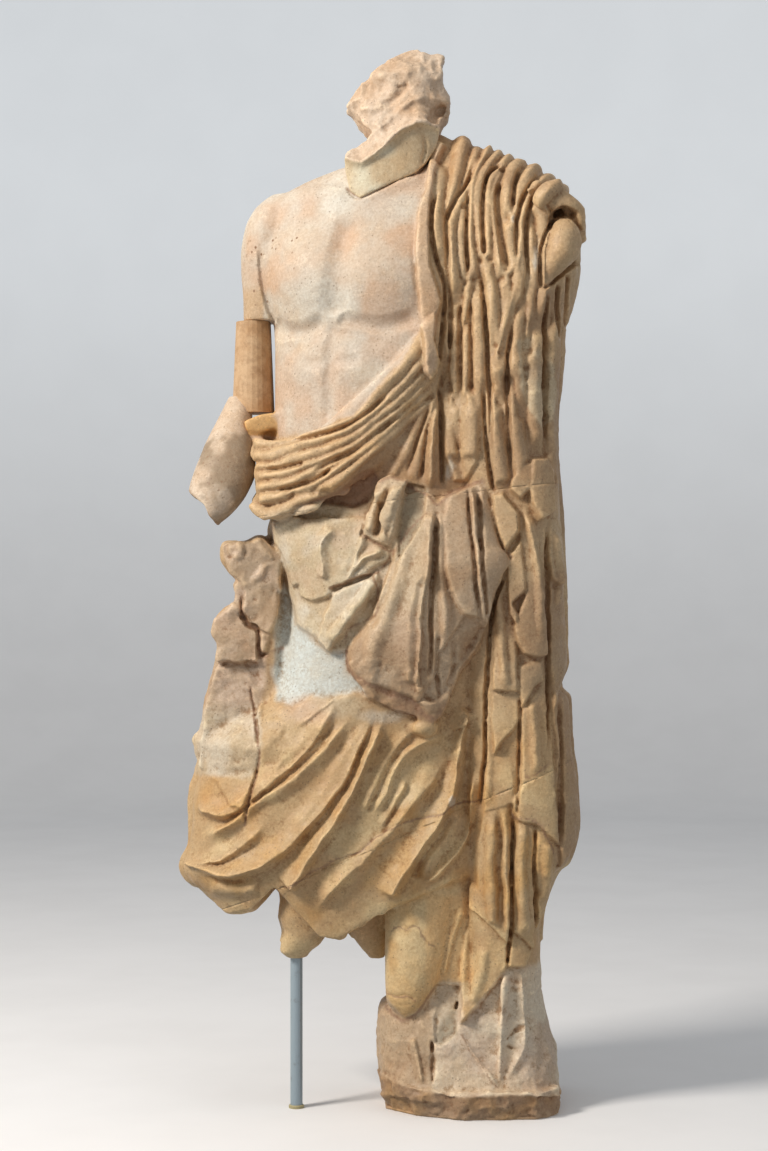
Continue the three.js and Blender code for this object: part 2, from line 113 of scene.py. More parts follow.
def noise(places, size, seed=0):
    """Smooth repeatable noise from -1 to 1 whose lumps are about `size` mm across."""
    scaled = places / size
    cell = np.floor(scaled).astype(np.int64)
    part = scaled - cell
    part = part * part * (3.0 - 2.0 * part)
    total = np.zeros(len(places))
    for corner in range(8):
        step = np.array([corner & 1, (corner >> 1) & 1, corner >> 2])
        c = cell + step
        code = (c[:, 0] * 73856093) ^ (c[:, 1] * 19349663) ^ (c[:, 2] * 83492791) ^ (seed * 26544357)
        code = ((code ^ (code >> 13)) * 1274126177) & 0xFFFFFFFF
        code = (code ^ (code >> 16)) & 0xFFFF
        weight = np.prod(np.where(step == 1, part, 1.0 - part), axis=1)
        total += weight * (code / 32767.5 - 1.0)
    return total


def layered_noise(places, size, seed=0, layers=3):
    """Noise with finer and fainter noise on top."""
    total = np.zeros(len(places))
    for layer in range(layers):
        total += noise(places, size / 2.0**layer, seed + layer) / 2.0**layer
    return total


# ------------------------------------------------------------------------------------ mesh handling

def mesh_places(mesh):
    """The mesh's points in millimetres."""
    flat = np.empty(len(mesh.vertices) * 3, dtype=np.float32)
    mesh.vertices.foreach_get("co", flat)
    return flat.reshape(-1, 3).astype(np.float64) / MM


def set_mesh_places(mesh, places):
    mesh.vertices.foreach_set("co", (places * MM).astype(np.float32).ravel())
    mesh.update()


def mesh_normals(mesh):
    flat = np.empty(len(mesh.vertices) * 3, dtype=np.float32)
    mesh.vertex_normals.foreach_get("vector", flat)
    return flat.reshape(-1, 3).astype(np.float64)


def mesh_edges(mesh):
    flat = np.empty(len(mesh.edges) * 2, dtype=np.int32)
    mesh.edges.foreach_get("vertices", flat)
    return flat.reshape(-1, 2)


def averaged(values, edges, rounds, share=0.5):
    """Each value drawn toward the mean of its neighbours, some rounds over."""
    a, b = edges[:, 0], edges[:, 1]
    count = len(values)
    ties = np.bincount(a, minlength=count) + np.bincount(b, minlength=count)
    ties = np.maximum(ties, 1)
    flat = values.reshape(count, -1).copy()
    for _ in range(rounds):
        for column in range(flat.shape[1]):
            c = flat[:, column]
            near = np.bincount(a, weights=c[b], minlength=count)
            near += np.bincount(b, weights=c[a], minlength=count)
            flat[:, column] = blend(c, near / ties, share)
    return flat.reshape(values.shape)


def new_object(name, mesh):
    piece = bpy.data.objects.new(name, mesh)
    bpy.context.scene.collection.objects.link(piece)
    return piece


def with_modifier(mesh, kind, **settings):
    """The mesh that a modifier makes of this one."""
    worker = new_object("worker", mesh)
    modifier = worker.modifiers.new(kind.lower(), kind)
    for key, value in settings.items():
        setattr(modifier, key, value)
    graph = bpy.context.evaluated_depsgraph_get()
    graph.update()
    made = bpy.data.meshes.new_from_object(worker.evaluated_get(graph))
    bpy.data.objects.remove(worker)
    bpy.data.meshes.remove(mesh)
    return made


def smoothed(mesh, rounds, share=0.5):
    """Draws each point toward its neighbours."""
    set_mesh_places(mesh, averaged(mesh_places(mesh), mesh_edges(mesh), rounds, share))


def remeshed(mesh, voxel):
    """The mesh grown together on an even grid of `voxel` mm."""
    return with_modifier(mesh, "REMESH", mode="VOXEL", voxel_size=voxel * MM, use_smooth_shade=True)


def thinned(mesh, most):
    """The mesh with no more than `most` triangles."""
    triangles = sum(len(p.vertices) - 2 for p in mesh.polygons)
    if triangles <= most:
        return mesh
    return with_modifier(mesh, "DECIMATE", ratio=most / triangles, use_collapse_triangulate=True)


def mesh_from(bm, name):
    mesh = bpy.data.meshes.new(name)
    bm.to_mesh(mesh)
    bm.free()
    return mesh


# ------------------------------------------------------------------------------------------- bodies

def upright_drum(around, rows):
    """A closed drum of radius 1 and height 1, and its points."""
    bm = bmesh.new()
    bmesh.ops.create_cone(bm, cap_ends=True, segments=around, radius1=1, radius2=1, depth=1)
    upright = [e for e in bm.edges if abs(e.verts[0].co.z - e.verts[1].co.z) > 0.5]
    bmesh.ops.subdivide_edges(bm, edges=upright, cuts=rows - 1, use_grid_fill=True)
    mesh = mesh_from(bm, "drum")
    return mesh, mesh_places(mesh) * MM


def body(sections, around=72, row=12.0, squareness=2.2, turn=0.0):
    """A closed body through sections [up, left, right, back, front] that are rounded rectangles."""
    table = np.array(sections, dtype=float)
    foot, top = table[0, 0], table[-1, 0]
    mesh, unit = upright_drum(around, max(2, int(round((top - foot) / row))))
    side, facing = unit[:, 0], -unit[:, 1]
    up = blend(foot, top, unit[:, 2] + 0.5)
    left, right, back, front = (curve_through(up, table[:, 0], table[:, k]) for k in range(1, 5))
    power = 2.0 / squareness
    middle = (left + right) / 2
    across = middle + np.sign(side) * np.abs(side) ** power * (right - left) / 2
    toward = (back + front) / 2 + np.sign(facing) * np.abs(facing) ** power * (front - back) / 2
    toward += turn * (across - middle)
    set_mesh_places(mesh, np.column_stack([across, -toward, up]))
    return mesh


BAND_AROUND = 40  # corners round a band, and rings along it
BAND_STATIONS = 70


def band(route, half_widths, centre, thick_out, thick_in):
    """A thick strip along a route of [across, up, toward] places that bends round an upright axis."""
    path = np.array(route, dtype=float)
    mesh, unit = upright_drum(BAND_AROUND, BAND_STATIONS)
    t = unit[:, 2] + 0.5
    reach = np.concatenate([[0], np.cumsum(np.linalg.norm(np.diff(path, axis=0), axis=1))])
    reach /= reach[-1]

    def at(s):
        columns = [curve_through(s, reach, path[:, k]) for k in range(3)]
        return np.column_stack([columns[0], -columns[2], columns[1]])

    place = at(t)
    along = at(np.minimum(t + 0.01, 1.0)) - at(np.maximum(t - 0.01, 0.0))
    along /= np.linalg.norm(along, axis=1)[:, None]
    out = place - np.array([centre[0], -centre[1], 0.0])
    out[:, 2] = 0.0
    out /= np.linalg.norm(out, axis=1)[:, None]
    wide = np.cross(out, along)
    wide /= np.linalg.norm(wide, axis=1)[:, None]
    radius = np.hypot(unit[:, 0], unit[:, 1])
    angle = np.arctan2(unit[:, 0], -unit[:, 1])
    half = blend(half_widths[0], half_widths[1], t) * radius
    thick = np.where(np.cos(angle) > 0, thick_out, thick_in) * np.cos(angle) * radius
    set_mesh_places(mesh, place - wide * (half * np.sin(angle))[:, None] + out * thick[:, None])
    return mesh


def pushed(corners, way):
    """A straight-sided block: a flat outline of corners in millimetres, pushed along `way` in metres."""
    bm = bmesh.new()
    bmesh.ops.create_circle(bm, cap_ends=True, segments=len(corners), radius=1)
    for vertex, corner in zip(bm.verts, corners):
        vertex.co = Vector(corner) * MM
    made = bmesh.ops.extrude_face_region(bm, geom=list(bm.faces))
    moved = [v for v in made["geom"] if isinstance(v, bmesh.types.BMVert)]
    bmesh.ops.translate(bm, verts=moved, vec=Vector(way))
    bmesh.ops.recalc_face_normals(bm, faces=bm.faces)
    return mesh_from(bm, "block")


def slab(outline, back, front):
    """A slab with an outline of [across, up] places that stands from back to front."""
    return pushed([(across, -back, up) for across, up in outline], (0, -(front - back) * MM, 0))


def joined(meshes):
    bm = bmesh.new()
    for mesh in meshes:
        bm.from_mesh(mesh)
        bpy.data.meshes.remove(mesh)
    return mesh_from(bm, "joined")


def cut_away(mesh, cutter):
    """The mesh without what lies inside the cutter."""
    tool = new_object("tool", cutter)
    made = with_modifier(mesh, "BOOLEAN", operation="DIFFERENCE", solver="EXACT", object=tool)
    bpy.data.objects.remove(tool)
    bpy.data.meshes.remove(cutter)
    return made


# ------------------------------------------------------------------------------------------ carving

ROUND = (2.0, 0.85)  # a full tube with tight creases beside it
SOFT = (2.0, 2.0)  # a low swelling
LIP = (1.0, 1.7)  # a thin crest with hollow flanks
LEG_STEPS = 6  # steps between two places of a drawn line


def drawn(points):
    """A smooth line through a few [across, up] places."""
    p = np.array(points, dtype=float)
    if len(p) < 3:
        return np.linspace(p[0], p[-1], LEG_STEPS + 1)
    padded = np.vstack([2 * p[0] - p[1], p, 2 * p[-1] - p[-2]])
    line = []
    for i in range(1, len(padded) - 2):
        a, b, c, d = padded[i - 1:i + 3]
        for t in np.linspace(0, 1, LEG_STEPS, endpoint=False):
            curve = 2 * b + (c - a) * t + (2 * a - 5 * b + 4 * c - d) * t**2 + (3 * b - a - 3 * c + d) * t**3
            line.append(0.5 * curve)
    line.append(p[-1])
    return np.array(line)


def fold(points, left, right, height, crest=ROUND, taper=(1.0, 1.0), ends=(0.12, 0.12)):
    """A ridge of cloth, or with a negative height a groove, drawn from its top to its bottom. left and
    right are how far it reaches to either side, as a visitor sees it."""
    return {
        "line": drawn(points), "left": left, "right": right, "height": height, "crest": crest, "taper": taper,
        "ends": ends,
    }


def along_line(line, across, up):
    """Distance to a line, which side of it, and how far along it, for many places."""
    best = np.full(len(across), np.inf)
    side = np.zeros(len(across))
    along = np.zeros(len(across))
    for i in range(len(line) - 1):
        a, d = line[i], line[i + 1] - line[i]
        length = max(float(d @ d), 1e-9)
        t = np.clip(((across - a[0]) * d[0] + (up - a[1]) * d[1]) / length, 0, 1)
        x, y = across - a[0] - t * d[0], up - a[1] - t * d[1]
        distance = np.hypot(x, y)
        near = distance < best
        best[near] = distance[near]
        side[near] = np.sign(d[0] * y - d[1] * x)[near]
        along[near] = (i + t[near]) / (len(line) - 1)
    return best, side, along


def relief(folds, across, up, wobble):
    """Height of the carving at each place. Each ridge reaches as far as it may, or until it meets the next
    one in a crease; grooves are cut after that."""
    count = len(across)
    first, second = np.full(count, 9.0), np.full(count, 9.0)
    lift, profile = np.zeros(count), np.zeros((count, 2))
    groove = np.zeros(count)
    for one in folds:
        reach = max(one["left"], one["right"]) * max(one["taper"])
        reach *= 1.0 if one["height"] < 0 else 2.0
        low, high = one["line"].min(0) - reach, one["line"].max(0) + reach
        near = np.flatnonzero((across > low[0]) & (across < high[0]) & (up > low[1]) & (up < high[1]))
        if not len(near):
            continue
        distance, side, along = along_line(one["line"], across[near], up[near])
        width = np.where(side > 0, one["right"], one["left"]) * blend(one["taper"][0], one["taper"][1], along)
        share = distance / width
        top, bottom = one["ends"]
        strength = blend(0.1, 1.0, smoothstep(0.0, top, along)) if top > 0 else 1.0
        strength = strength * (blend(0.1, 1.0, smoothstep(0.0, bottom, 1.0 - along)) if bottom > 0 else 1.0)
        height = one["height"] * strength * (1.0 + 0.22 * wobble[near])
        if one["height"] < 0:
            inner, outer = one["crest"]
            cut = height * np.clip(1.0 - np.clip(share, 0.0, 1.0) ** inner, 0.0, 1.0) ** outer
            groove[near] = np.minimum(groove[near], cut)
            continue
        closer = share < first[near]
        second[near] = np.where(closer, first[near], np.minimum(second[near], share))
        first[near] = np.where(closer, share, first[near])
        lift[near] = np.where(closer, height, lift[near])
        profile[near] = np.where(closer[:, None], np.array(one["crest"])[None, :], profile[near])
    room = np.clip((first + second) / 2.0, 0.35, 1.0)
    share = np.clip(first / room, 0.0, 1.0)
    shape = np.clip(1.0 - share ** np.maximum(profile[:, 0], 0.1), 0.0, 1.0) ** np.maximum(profile[:, 1], 0.1)
    return np.where(first < 9.0, lift * shape * room**0.5, 0.0) + groove


def inside(outline, across, up, edge):
    """1 well inside an outline, 0 well outside, changing over `edge` mm on its line."""
    p = np.array(outline, dtype=float)
    result = np.zeros(len(across))
    low, high = p.min(0) - edge, p.max(0) + edge
    near = (across > low[0]) & (across < high[0]) & (up > low[1]) & (up < high[1])
    x, y = across[near], up[near]
    within = np.zeros(len(x), dtype=bool)
    best = np.full(len(x), np.inf)
    for a, b in zip(p, np.roll(p, -1, axis=0)):
        d = b - a
        t = np.clip(((x - a[0]) * d[0] + (y - a[1]) * d[1]) / max(float(d @ d), 1e-9), 0, 1)
        best = np.minimum(best, np.hypot(x - a[0] - t * d[0], y - a[1] - t * d[1]))
        crosses = (a[1] > y) != (b[1] > y)
        if a[1] != b[1]:
            within ^= crosses & (x < (b[0] - a[0]) * (y - a[1]) / (b[1] - a[1]) + a[0])
    signed = np.where(within, best, -best)
    result[near] = smoothstep(-edge / 2, edge / 2, signed)
    return result


def layers(panels, across, up):
    """Flaps that lie over each other: each stands prouder towards its lower hem."""
    height = np.zeros(len(across))
    for outline, at_top, at_hem, edge in panels:
        foot, top = min(p[1] for p in outline), max(p[1] for p in outline)
        share = np.clip((top - up) / (top - foot), 0.0, 1.0)
        height = np.maximum(height, blend(at_top, at_hem, share) * inside(outline, across, up, edge))
    return height


def swelling(across, up, at, reach, height):
    """A round low mound at one place."""
    d = np.hypot((across - at[0]) / reach[0], (up - at[1]) / reach[1])
    return height * np.clip(1.0 - d * d, 0.0, 1.0) ** 1.5


# Outlines of the regions on the display front, each a ring of [across, up] places. The roll is the rolled
# cloth across the trunk, the apron the pointed over-fold, the strut the small bridge between the trunk and
# the right forearm.
LAPEL = [
    [-62, 1742], [-80, 1695], [-86, 1645], [-100, 1600], [-105, 1525], [-100, 1475], [-95, 1420], [-91, 1375],
    [-91, 1322], [-80, 1306], [-68, 1322], [-64, 1338], [-74, 1375], [-60, 1442], [-79, 1508], [-80, 1575],
    [-79, 1615], [-70, 1675], [-50, 1732],
]
ROLL = [
    [-95, 1400], [-130, 1335], [-180, 1281], [-212, 1241], [-265, 1221], [-325, 1206], [-410, 1208],
    [-410, 1060], [-370, 1062], [-302, 1086], [-250, 1110], [-185, 1168], [-130, 1214], [-72, 1275],
    [-50, 1330],
]
BELOW_ROLL = [
    [-250, 1110], [-185, 1168], [-130, 1214], [-72, 1275], [-40, 1200], [-20, 1120], [-45, 1105], [-64, 1092],
    [-90, 1122], [-170, 1126], [-190, 1088], [-240, 1084],
]
RED_BREAK = [
    [-318, 1082], [-272, 1098], [-240, 1110], [-200, 1142], [-176, 1150], [-166, 1128], [-188, 1092],
    [-212, 1082], [-272, 1088],
]
HIP = [
    [-372, 1064], [-302, 1084], [-272, 1094], [-212, 1082], [-188, 1090], [-168, 1126], [-140, 1060],
    [-140, 990], [-172, 930], [-185, 888], [-226, 828], [-256, 822], [-286, 854], [-318, 872], [-336, 930],
    [-360, 1016],
]
GREY_PATCH = [[-120, 1124], [-86, 1118], [-92, 1060], [-136, 985], [-138, 1030]]
PLASTER = [
    [-352, 930], [-336, 930], [-318, 872], [-286, 854], [-256, 822], [-226, 828], [-222, 796], [-206, 770],
    [-190, 750], [-215, 756], [-250, 740], [-290, 744], [-326, 724], [-352, 736], [-352, 800],
]
CHIPPED_SKIRT = [[-386, 616], [-380, 700], [-352, 716], [-330, 690], [-326, 640], [-344, 616]]
UNDER_APRON = [
    [-222, 806], [-214, 780], [-190, 746], [-160, 732], [-138, 720], [-110, 712], [-80, 700], [-58, 712],
    [-44, 746], [-60, 790], [-200, 820],
]
APRON = [
    [-168, 1130], [-184, 1084], [-200, 1049], [-202, 1027], [-172, 1016], [-142, 1004], [-140, 990],
    [-170, 930], [-185, 888], [-225, 830], [-221, 796], [-190, 774], [-158, 759], [-109, 743], [-92, 726],
    [-76, 712], [-44, 746], [-24, 791], [1, 820], [8, 855], [30, 886], [34, 932], [46, 964], [66, 994],
    [42, 1012], [30, 1075], [16, 1128], [-18, 1114], [-46, 1104], [-64, 1092], [-90, 1122], [-123, 1128],
    [-149, 1136],
]
STUMP = [
    [153, 1591], [136, 1576], [124, 1540], [120, 1505], [122, 1469], [136, 1480], [158, 1504], [180, 1522],
    [187, 1549], [180, 1571], [167, 1589],
]
STRUT = [[-420, 1262], [-360, 1262], [-350, 1212], [-420, 1214]]
SHOULDER_CAP = [
    [98, 1640], [130, 1646], [162, 1640], [188, 1618], [196, 1578], [188, 1576], [178, 1600], [160, 1610],
    [142, 1606], [128, 1592], [118, 1602], [108, 1622],
]
HIP_FRAGMENT = [
    [-456, 1018], [-428, 1022], [-398, 1022], [-378, 1034], [-362, 1010], [-346, 988], [-345, 932], [-356, 880],
    [-374, 822], [-374, 774], [-382, 700], [-376, 662], [-384, 626], [-400, 604], [-500, 600],
    [-520, 660], [-490, 720], [-480, 780], [-465, 840], [-480, 870], [-440, 905], [-440, 970],
]
SKIRT = [
    [-540, 700], [-380, 690], [-352, 748], [-300, 738], [-246, 748], [-190, 746], [-138, 718], [-100, 700],
    [-44, 744], [0, 820], [14, 742], [14, 546], [10, 420], [-60, 400], [-158, 360], [-240, 310], [-345, 388],
    [-360, 398], [-460, 340], [-560, 420],
]
CALF = [
    [-170, 380], [-110, 390], [-30, 430], [-22, 400], [-44, 300], [-62, 232], [-86, 196], [-122, 168],
    [-160, 205],
]
PITTED = [[-69, 227], [-27, 224], [-29, 146], [-60, 122], [-69, 126]]
FOOT = [
    [-200, 210], [-160, 205], [-122, 168], [-86, 198], [-60, 236], [-22, 232], [-20, 160], [60, 262],
    [180, 262], [200, -20], [-200, -20],
]
UPPER_CHEST = [
    [-440, 1720], [-60, 1760], [-100, 1600], [-105, 1500], [-92, 1400], [-130, 1335], [-212, 1241],
    [-265, 1221], [-420, 1206], [-440, 1440],
]
BROKEN_APRON = [
    [-18, 893], [17, 867], [10, 852], [-8, 821], [-26, 800], [-48, 756], [-62, 738], [-79, 738], [-100, 740],
    [-76, 778], [-64, 821], [-44, 850],
]
WHITE_BREAK = [
    [74, 1372], [100, 1385], [135, 1350], [146, 1290], [140, 1240], [120, 1225], [96, 1250], [80, 1300],
]

# Lines on the display front. The plinth's broken top edge and the joint above the apron are given as all
# across values, then all up values; the joint round the neck as places.
PLINTH_TOP = ((-170, -120, -75, -20, 40, 100, 160), (60, 52, 50, 44, 46, 42, 40))
NECK_JOINT = ((-226, 1652), (-205, 1636), (-167, 1651), (-131, 1671), (-102, 1680), (-86, 1698))
FRONT_JOINT = ((-130, -90, -64, -46, -18, 16, 30, 50, 80, 98, 126, 140, 170),
               (1128, 1122, 1092, 1104, 1114, 1128, 1108, 1107, 1150, 1166, 1169, 1130, 1100))


def figure_bodies():
    """The big forms that the marble is made of."""
    torso = body([
        [1030, -366, 60, -130, 112], [1130, -364, 20, -124, 108], [1212, -366, 0, -110, 108],
        [1270, -360, -15, -105, 108], [1320, -360, -10, -108, 110], [1370, -360, 5, -112, 112],
        [1420, -363, 25, -118, 114], [1480, -380, 45, -124, 116], [1550, -388, 55, -124, 108],
        [1610, -385, 55, -118, 92], [1655, -352, 30, -100, 74], [1682, -302, -20, -85, 60],
        [1704, -240, -70, -60, 40],
    ], turn=0.22)
    shoulder = body([
        [1428.4, -419, -338, -108, -14], [1478, -420, -334, -112, -10], [1508, -423, -322, -120, -4],
        [1546, -424, -310, -126, 4], [1600, -416, -300, -126, 6], [1636, -398, -290, -118, -4],
        [1662, -368, -300, -100, -30],
    ])
    roll = band(
        [[-392, 1130, -60], [-390, 1130, 14], [-336, 1134, 78], [-258, 1162, 104], [-172, 1230, 112],
         [-96, 1318, 108], [-40, 1396, 90]],
        (74, 50), (-200, -20), 24, 30,
    )
    left_of_roll = slab([
        [-460, 1240], [-402, 1208], [-405, 1192], [-399, 1173], [-385, 1165], [-396, 1146], [-390, 1130],
        [-386, 1112], [-398, 1098], [-396, 1084], [-382, 1072], [-340, 1064], [-300, 1070], [-290, 1040],
        [-460, 1040],
    ], -200, 60)
    roll = cut_away(roll, left_of_roll)
    fall = body([
        [150, -60, 132, -132, 80], [268, -24, 124, -128, 84], [354, -26, 126, -132, 92],
        [384, -26, 136, -136, 96], [428, -30, 156, -140, 100], [440, -32, 172, -142, 102],
        [504, -36, 188, -145, 106], [600, -40, 184, -148, 112], [650, -40, 177, -150, 114],
        [742, -40, 172, -150, 118], [756, -40, 155, -150, 120], [800, -40, 168, -150, 122],
        [940, -30, 165, -150, 128], [1060, -20, 160, -150, 134], [1150, -50, 156, -150, 138],
        [1240, -70, 155, -148, 138], [1306, -84, 160, -145, 136], [1386, -94, 163, -142, 134],
        [1450, -96, 182, -140, 132], [1530, -104, 194, -140, 124], [1618, -102, 194, -138, 106],
        [1650, -98, 170, -132, 92], [1680, -96, 138, -124, 76], [1706, -94, 92, -114, 60],
        [1732, -90, 24, -96, 42], [1750, -84, -30, -80, 26], [1764, -74, -54, -50, 5],
    ], squareness=2.6, turn=0.08)
    arm_stump = body([
        [1462, 119, 126, 60, 92], [1486, 118, 146, 40, 116], [1510, 119, 168, 20, 134],
        [1535, 124, 187, 10, 142], [1560, 130, 189, 10, 142], [1580, 138, 184, 14, 130],
        [1598, 152, 172, 20, 104],
    ], row=6)
    shoulder_cap = band(
        [[104, 1640, 92], [126, 1634, 112], [150, 1622, 118], [172, 1606, 108], [188, 1584, 80],
         [190, 1560, 50]],
        (16, 9), (100, 0), 16, 24,
    )
    skirt = body([
        [262, -440, 30, -120, 96], [330, -460, 50, -130, 104], [358, -470, 60, -134, 108],
        [386, -492, 60, -138, 112], [410, -518, 60, -140, 114], [428, -527, 60, -142, 116],
        [474, -514, 60, -145, 118], [564, -507, 60, -150, 120], [618, -494, 60, -150, 120],
        [655, -500, 60, -150, 120], [690, -460, 60, -150, 120], [740, -376, 60, -150, 122],
        [800, -352, 60, -148, 124], [870, -338, 60, -146, 128], [930, -334, 60, -142, 128],
        [1016, -360, 60, -138, 122], [1060, -368, 60, -132, 112],
    ], squareness=2.1, around=96)
    hem = slab([
        [-600, 330], [-500, 398], [-486, 386], [-458, 358], [-442, 350], [-398, 362], [-382, 378], [-354, 408],
        [-330, 380], [-276, 318], [-242, 312], [-204, 336], [-158, 364], [-120, 380], [-36, 416], [40, 430],
        [200, 430], [200, 100], [-600, 100],
    ], -300, 300)
    apron = body([
        [708, -84, -70, 40, 134], [724, -94, -62, 40, 146], [740, -104, -50, 40, 150],
        [748, -126, -44, 40, 150], [760, -162, -38, 40, 152], [774, -196, -32, 40, 152],
        [794, -222, -22, 40, 153], [828, -226, 4, 40, 156], [888, -184, 28, 40, 160], [932, -170, 34, 40, 162],
        [990, -148, 64, 40, 160], [1014, -148, 44, 40, 158], [1060, -156, 34, 40, 152],
        [1142, -176, 22, 40, 136],
    ], squareness=3)
    above_apron = slab([
        [-190, 1128], [-165, 1126], [-149, 1132], [-124, 1124], [-120, 1108], [-104, 1112], [-84, 1104],
        [-66, 1086], [-58, 1096], [-44, 1104], [-18, 1114], [16, 1126], [28, 1110], [40, 1070], [60, 1060],
        [60, 1170], [-190, 1170],
    ], 0, 200)
    apron = cut_away(apron, above_apron)
    hip_fragment = slab([
        [-452, 1017], [-440, 1021], [-424, 1018], [-404, 1022], [-391, 1031], [-380, 1026], [-366, 1012],
        [-351, 996], [-347, 970], [-349, 934], [-355, 891], [-357, 862], [-353, 846], [-340, 828], [-331, 790],
        [-329, 758], [-347, 722], [-340, 660], [-380, 600], [-496, 612], [-490, 668], [-484, 718], [-474, 765],
        [-461, 798], [-456, 820], [-456, 838], [-468, 857], [-465, 884], [-450, 898], [-432, 909], [-429, 931],
        [-431, 942], [-420, 954], [-438, 970], [-451, 988],
    ], -74, 30)
    under_apron = slab(UNDER_APRON, 40, 136)
    plaster_fill = body([
        [700, -410, -300, -110, 30], [800, -385, -300, -112, 26], [880, -372, -300, -112, 16],
        [950, -362, -310, -108, 0], [990, -356, -320, -100, -10],
    ])
    behind_hem = body([
        [190, -84, 10, -120, 58], [240, -84, 6, -120, 70], [460, -90, 6, -120, 78],
    ], squareness=3)
    over_rod = body([
        [271.4, -335, -300, 12, 54], [284, -349, -292, 4, 66], [300, -345, -272, 0, 74],
        [318, -340, -264, -4, 80], [346, -350, -258, -8, 84], [386, -341, -250, -12, 88],
        [430, -346, -240, -16, 92],
    ], squareness=2.4)
    behind_calf = body([
        [262, -186, -158, -40, 0], [300, -216, -152, -52, 20], [350, -244, -140, -60, 30],
        [400, -250, -120, -60, 30],
    ])
    calf = body([
        [162, -126, -108, 34, 70], [176, -138, -88, 22, 86], [200, -156, -76, 12, 96],
        [268, -158, -50, -4, 100], [320, -159, -38, -10, 98], [380, -160, -24, -14, 90],
        [440, -160, -10, -16, 80],
    ], row=6)
    block = body([
        [30, -163, 158, -148, 130], [60, -166, 158, -147, 118], [90, -171, 156, -146, 106],
        [128, -174, 144, -142, 98], [168, -172, 134, -138, 90], [190, -150, 130, -136, 78],
        [232, -96, 126, -134, 64], [290, -40, 124, -130, 54],
    ], squareness=3)
    strut = slab([[-415, 1241], [-386, 1253], [-350, 1258], [-345, 1230], [-388, 1219], [-410, 1223]], -46, 14)
    strut_root = slab([
        [-419, 1212], [-404, 1216], [-380, 1214], [-380, 1190], [-402, 1190], [-414, 1198],
    ], -50, 8)
    behind_strut = slab([[-402, 1230], [-340, 1236], [-340, 1180], [-398, 1180]], -60, -12)
    lower_stub = body([
        [676, -98, -80, 90, 118], [684, -112, -66, 80, 134], [696, -114, -62, 80, 138],
        [706, -104, -72, 90, 124],
    ], row=4)
    skirt = cut_away(skirt, hem)
    return [
        torso, shoulder, roll, fall, arm_stump, shoulder_cap, skirt, apron, under_apron, hip_fragment,
        plaster_fill, behind_hem, over_rod, behind_calf, calf, block, strut, strut_root, behind_strut,
        lower_stub, plinth_slab(),
    ]


def plinth_slab():
    """The surviving corner of the plinth, an outline of [across, toward] places."""
    outline = [[-160, -140], [152, -148], [153, 90], [112, 134], [-20, 141], [-108, 104], [-160, 52]]
    return pushed([(across, -toward, 0) for across, toward in outline], (0, 0, 50 * MM))


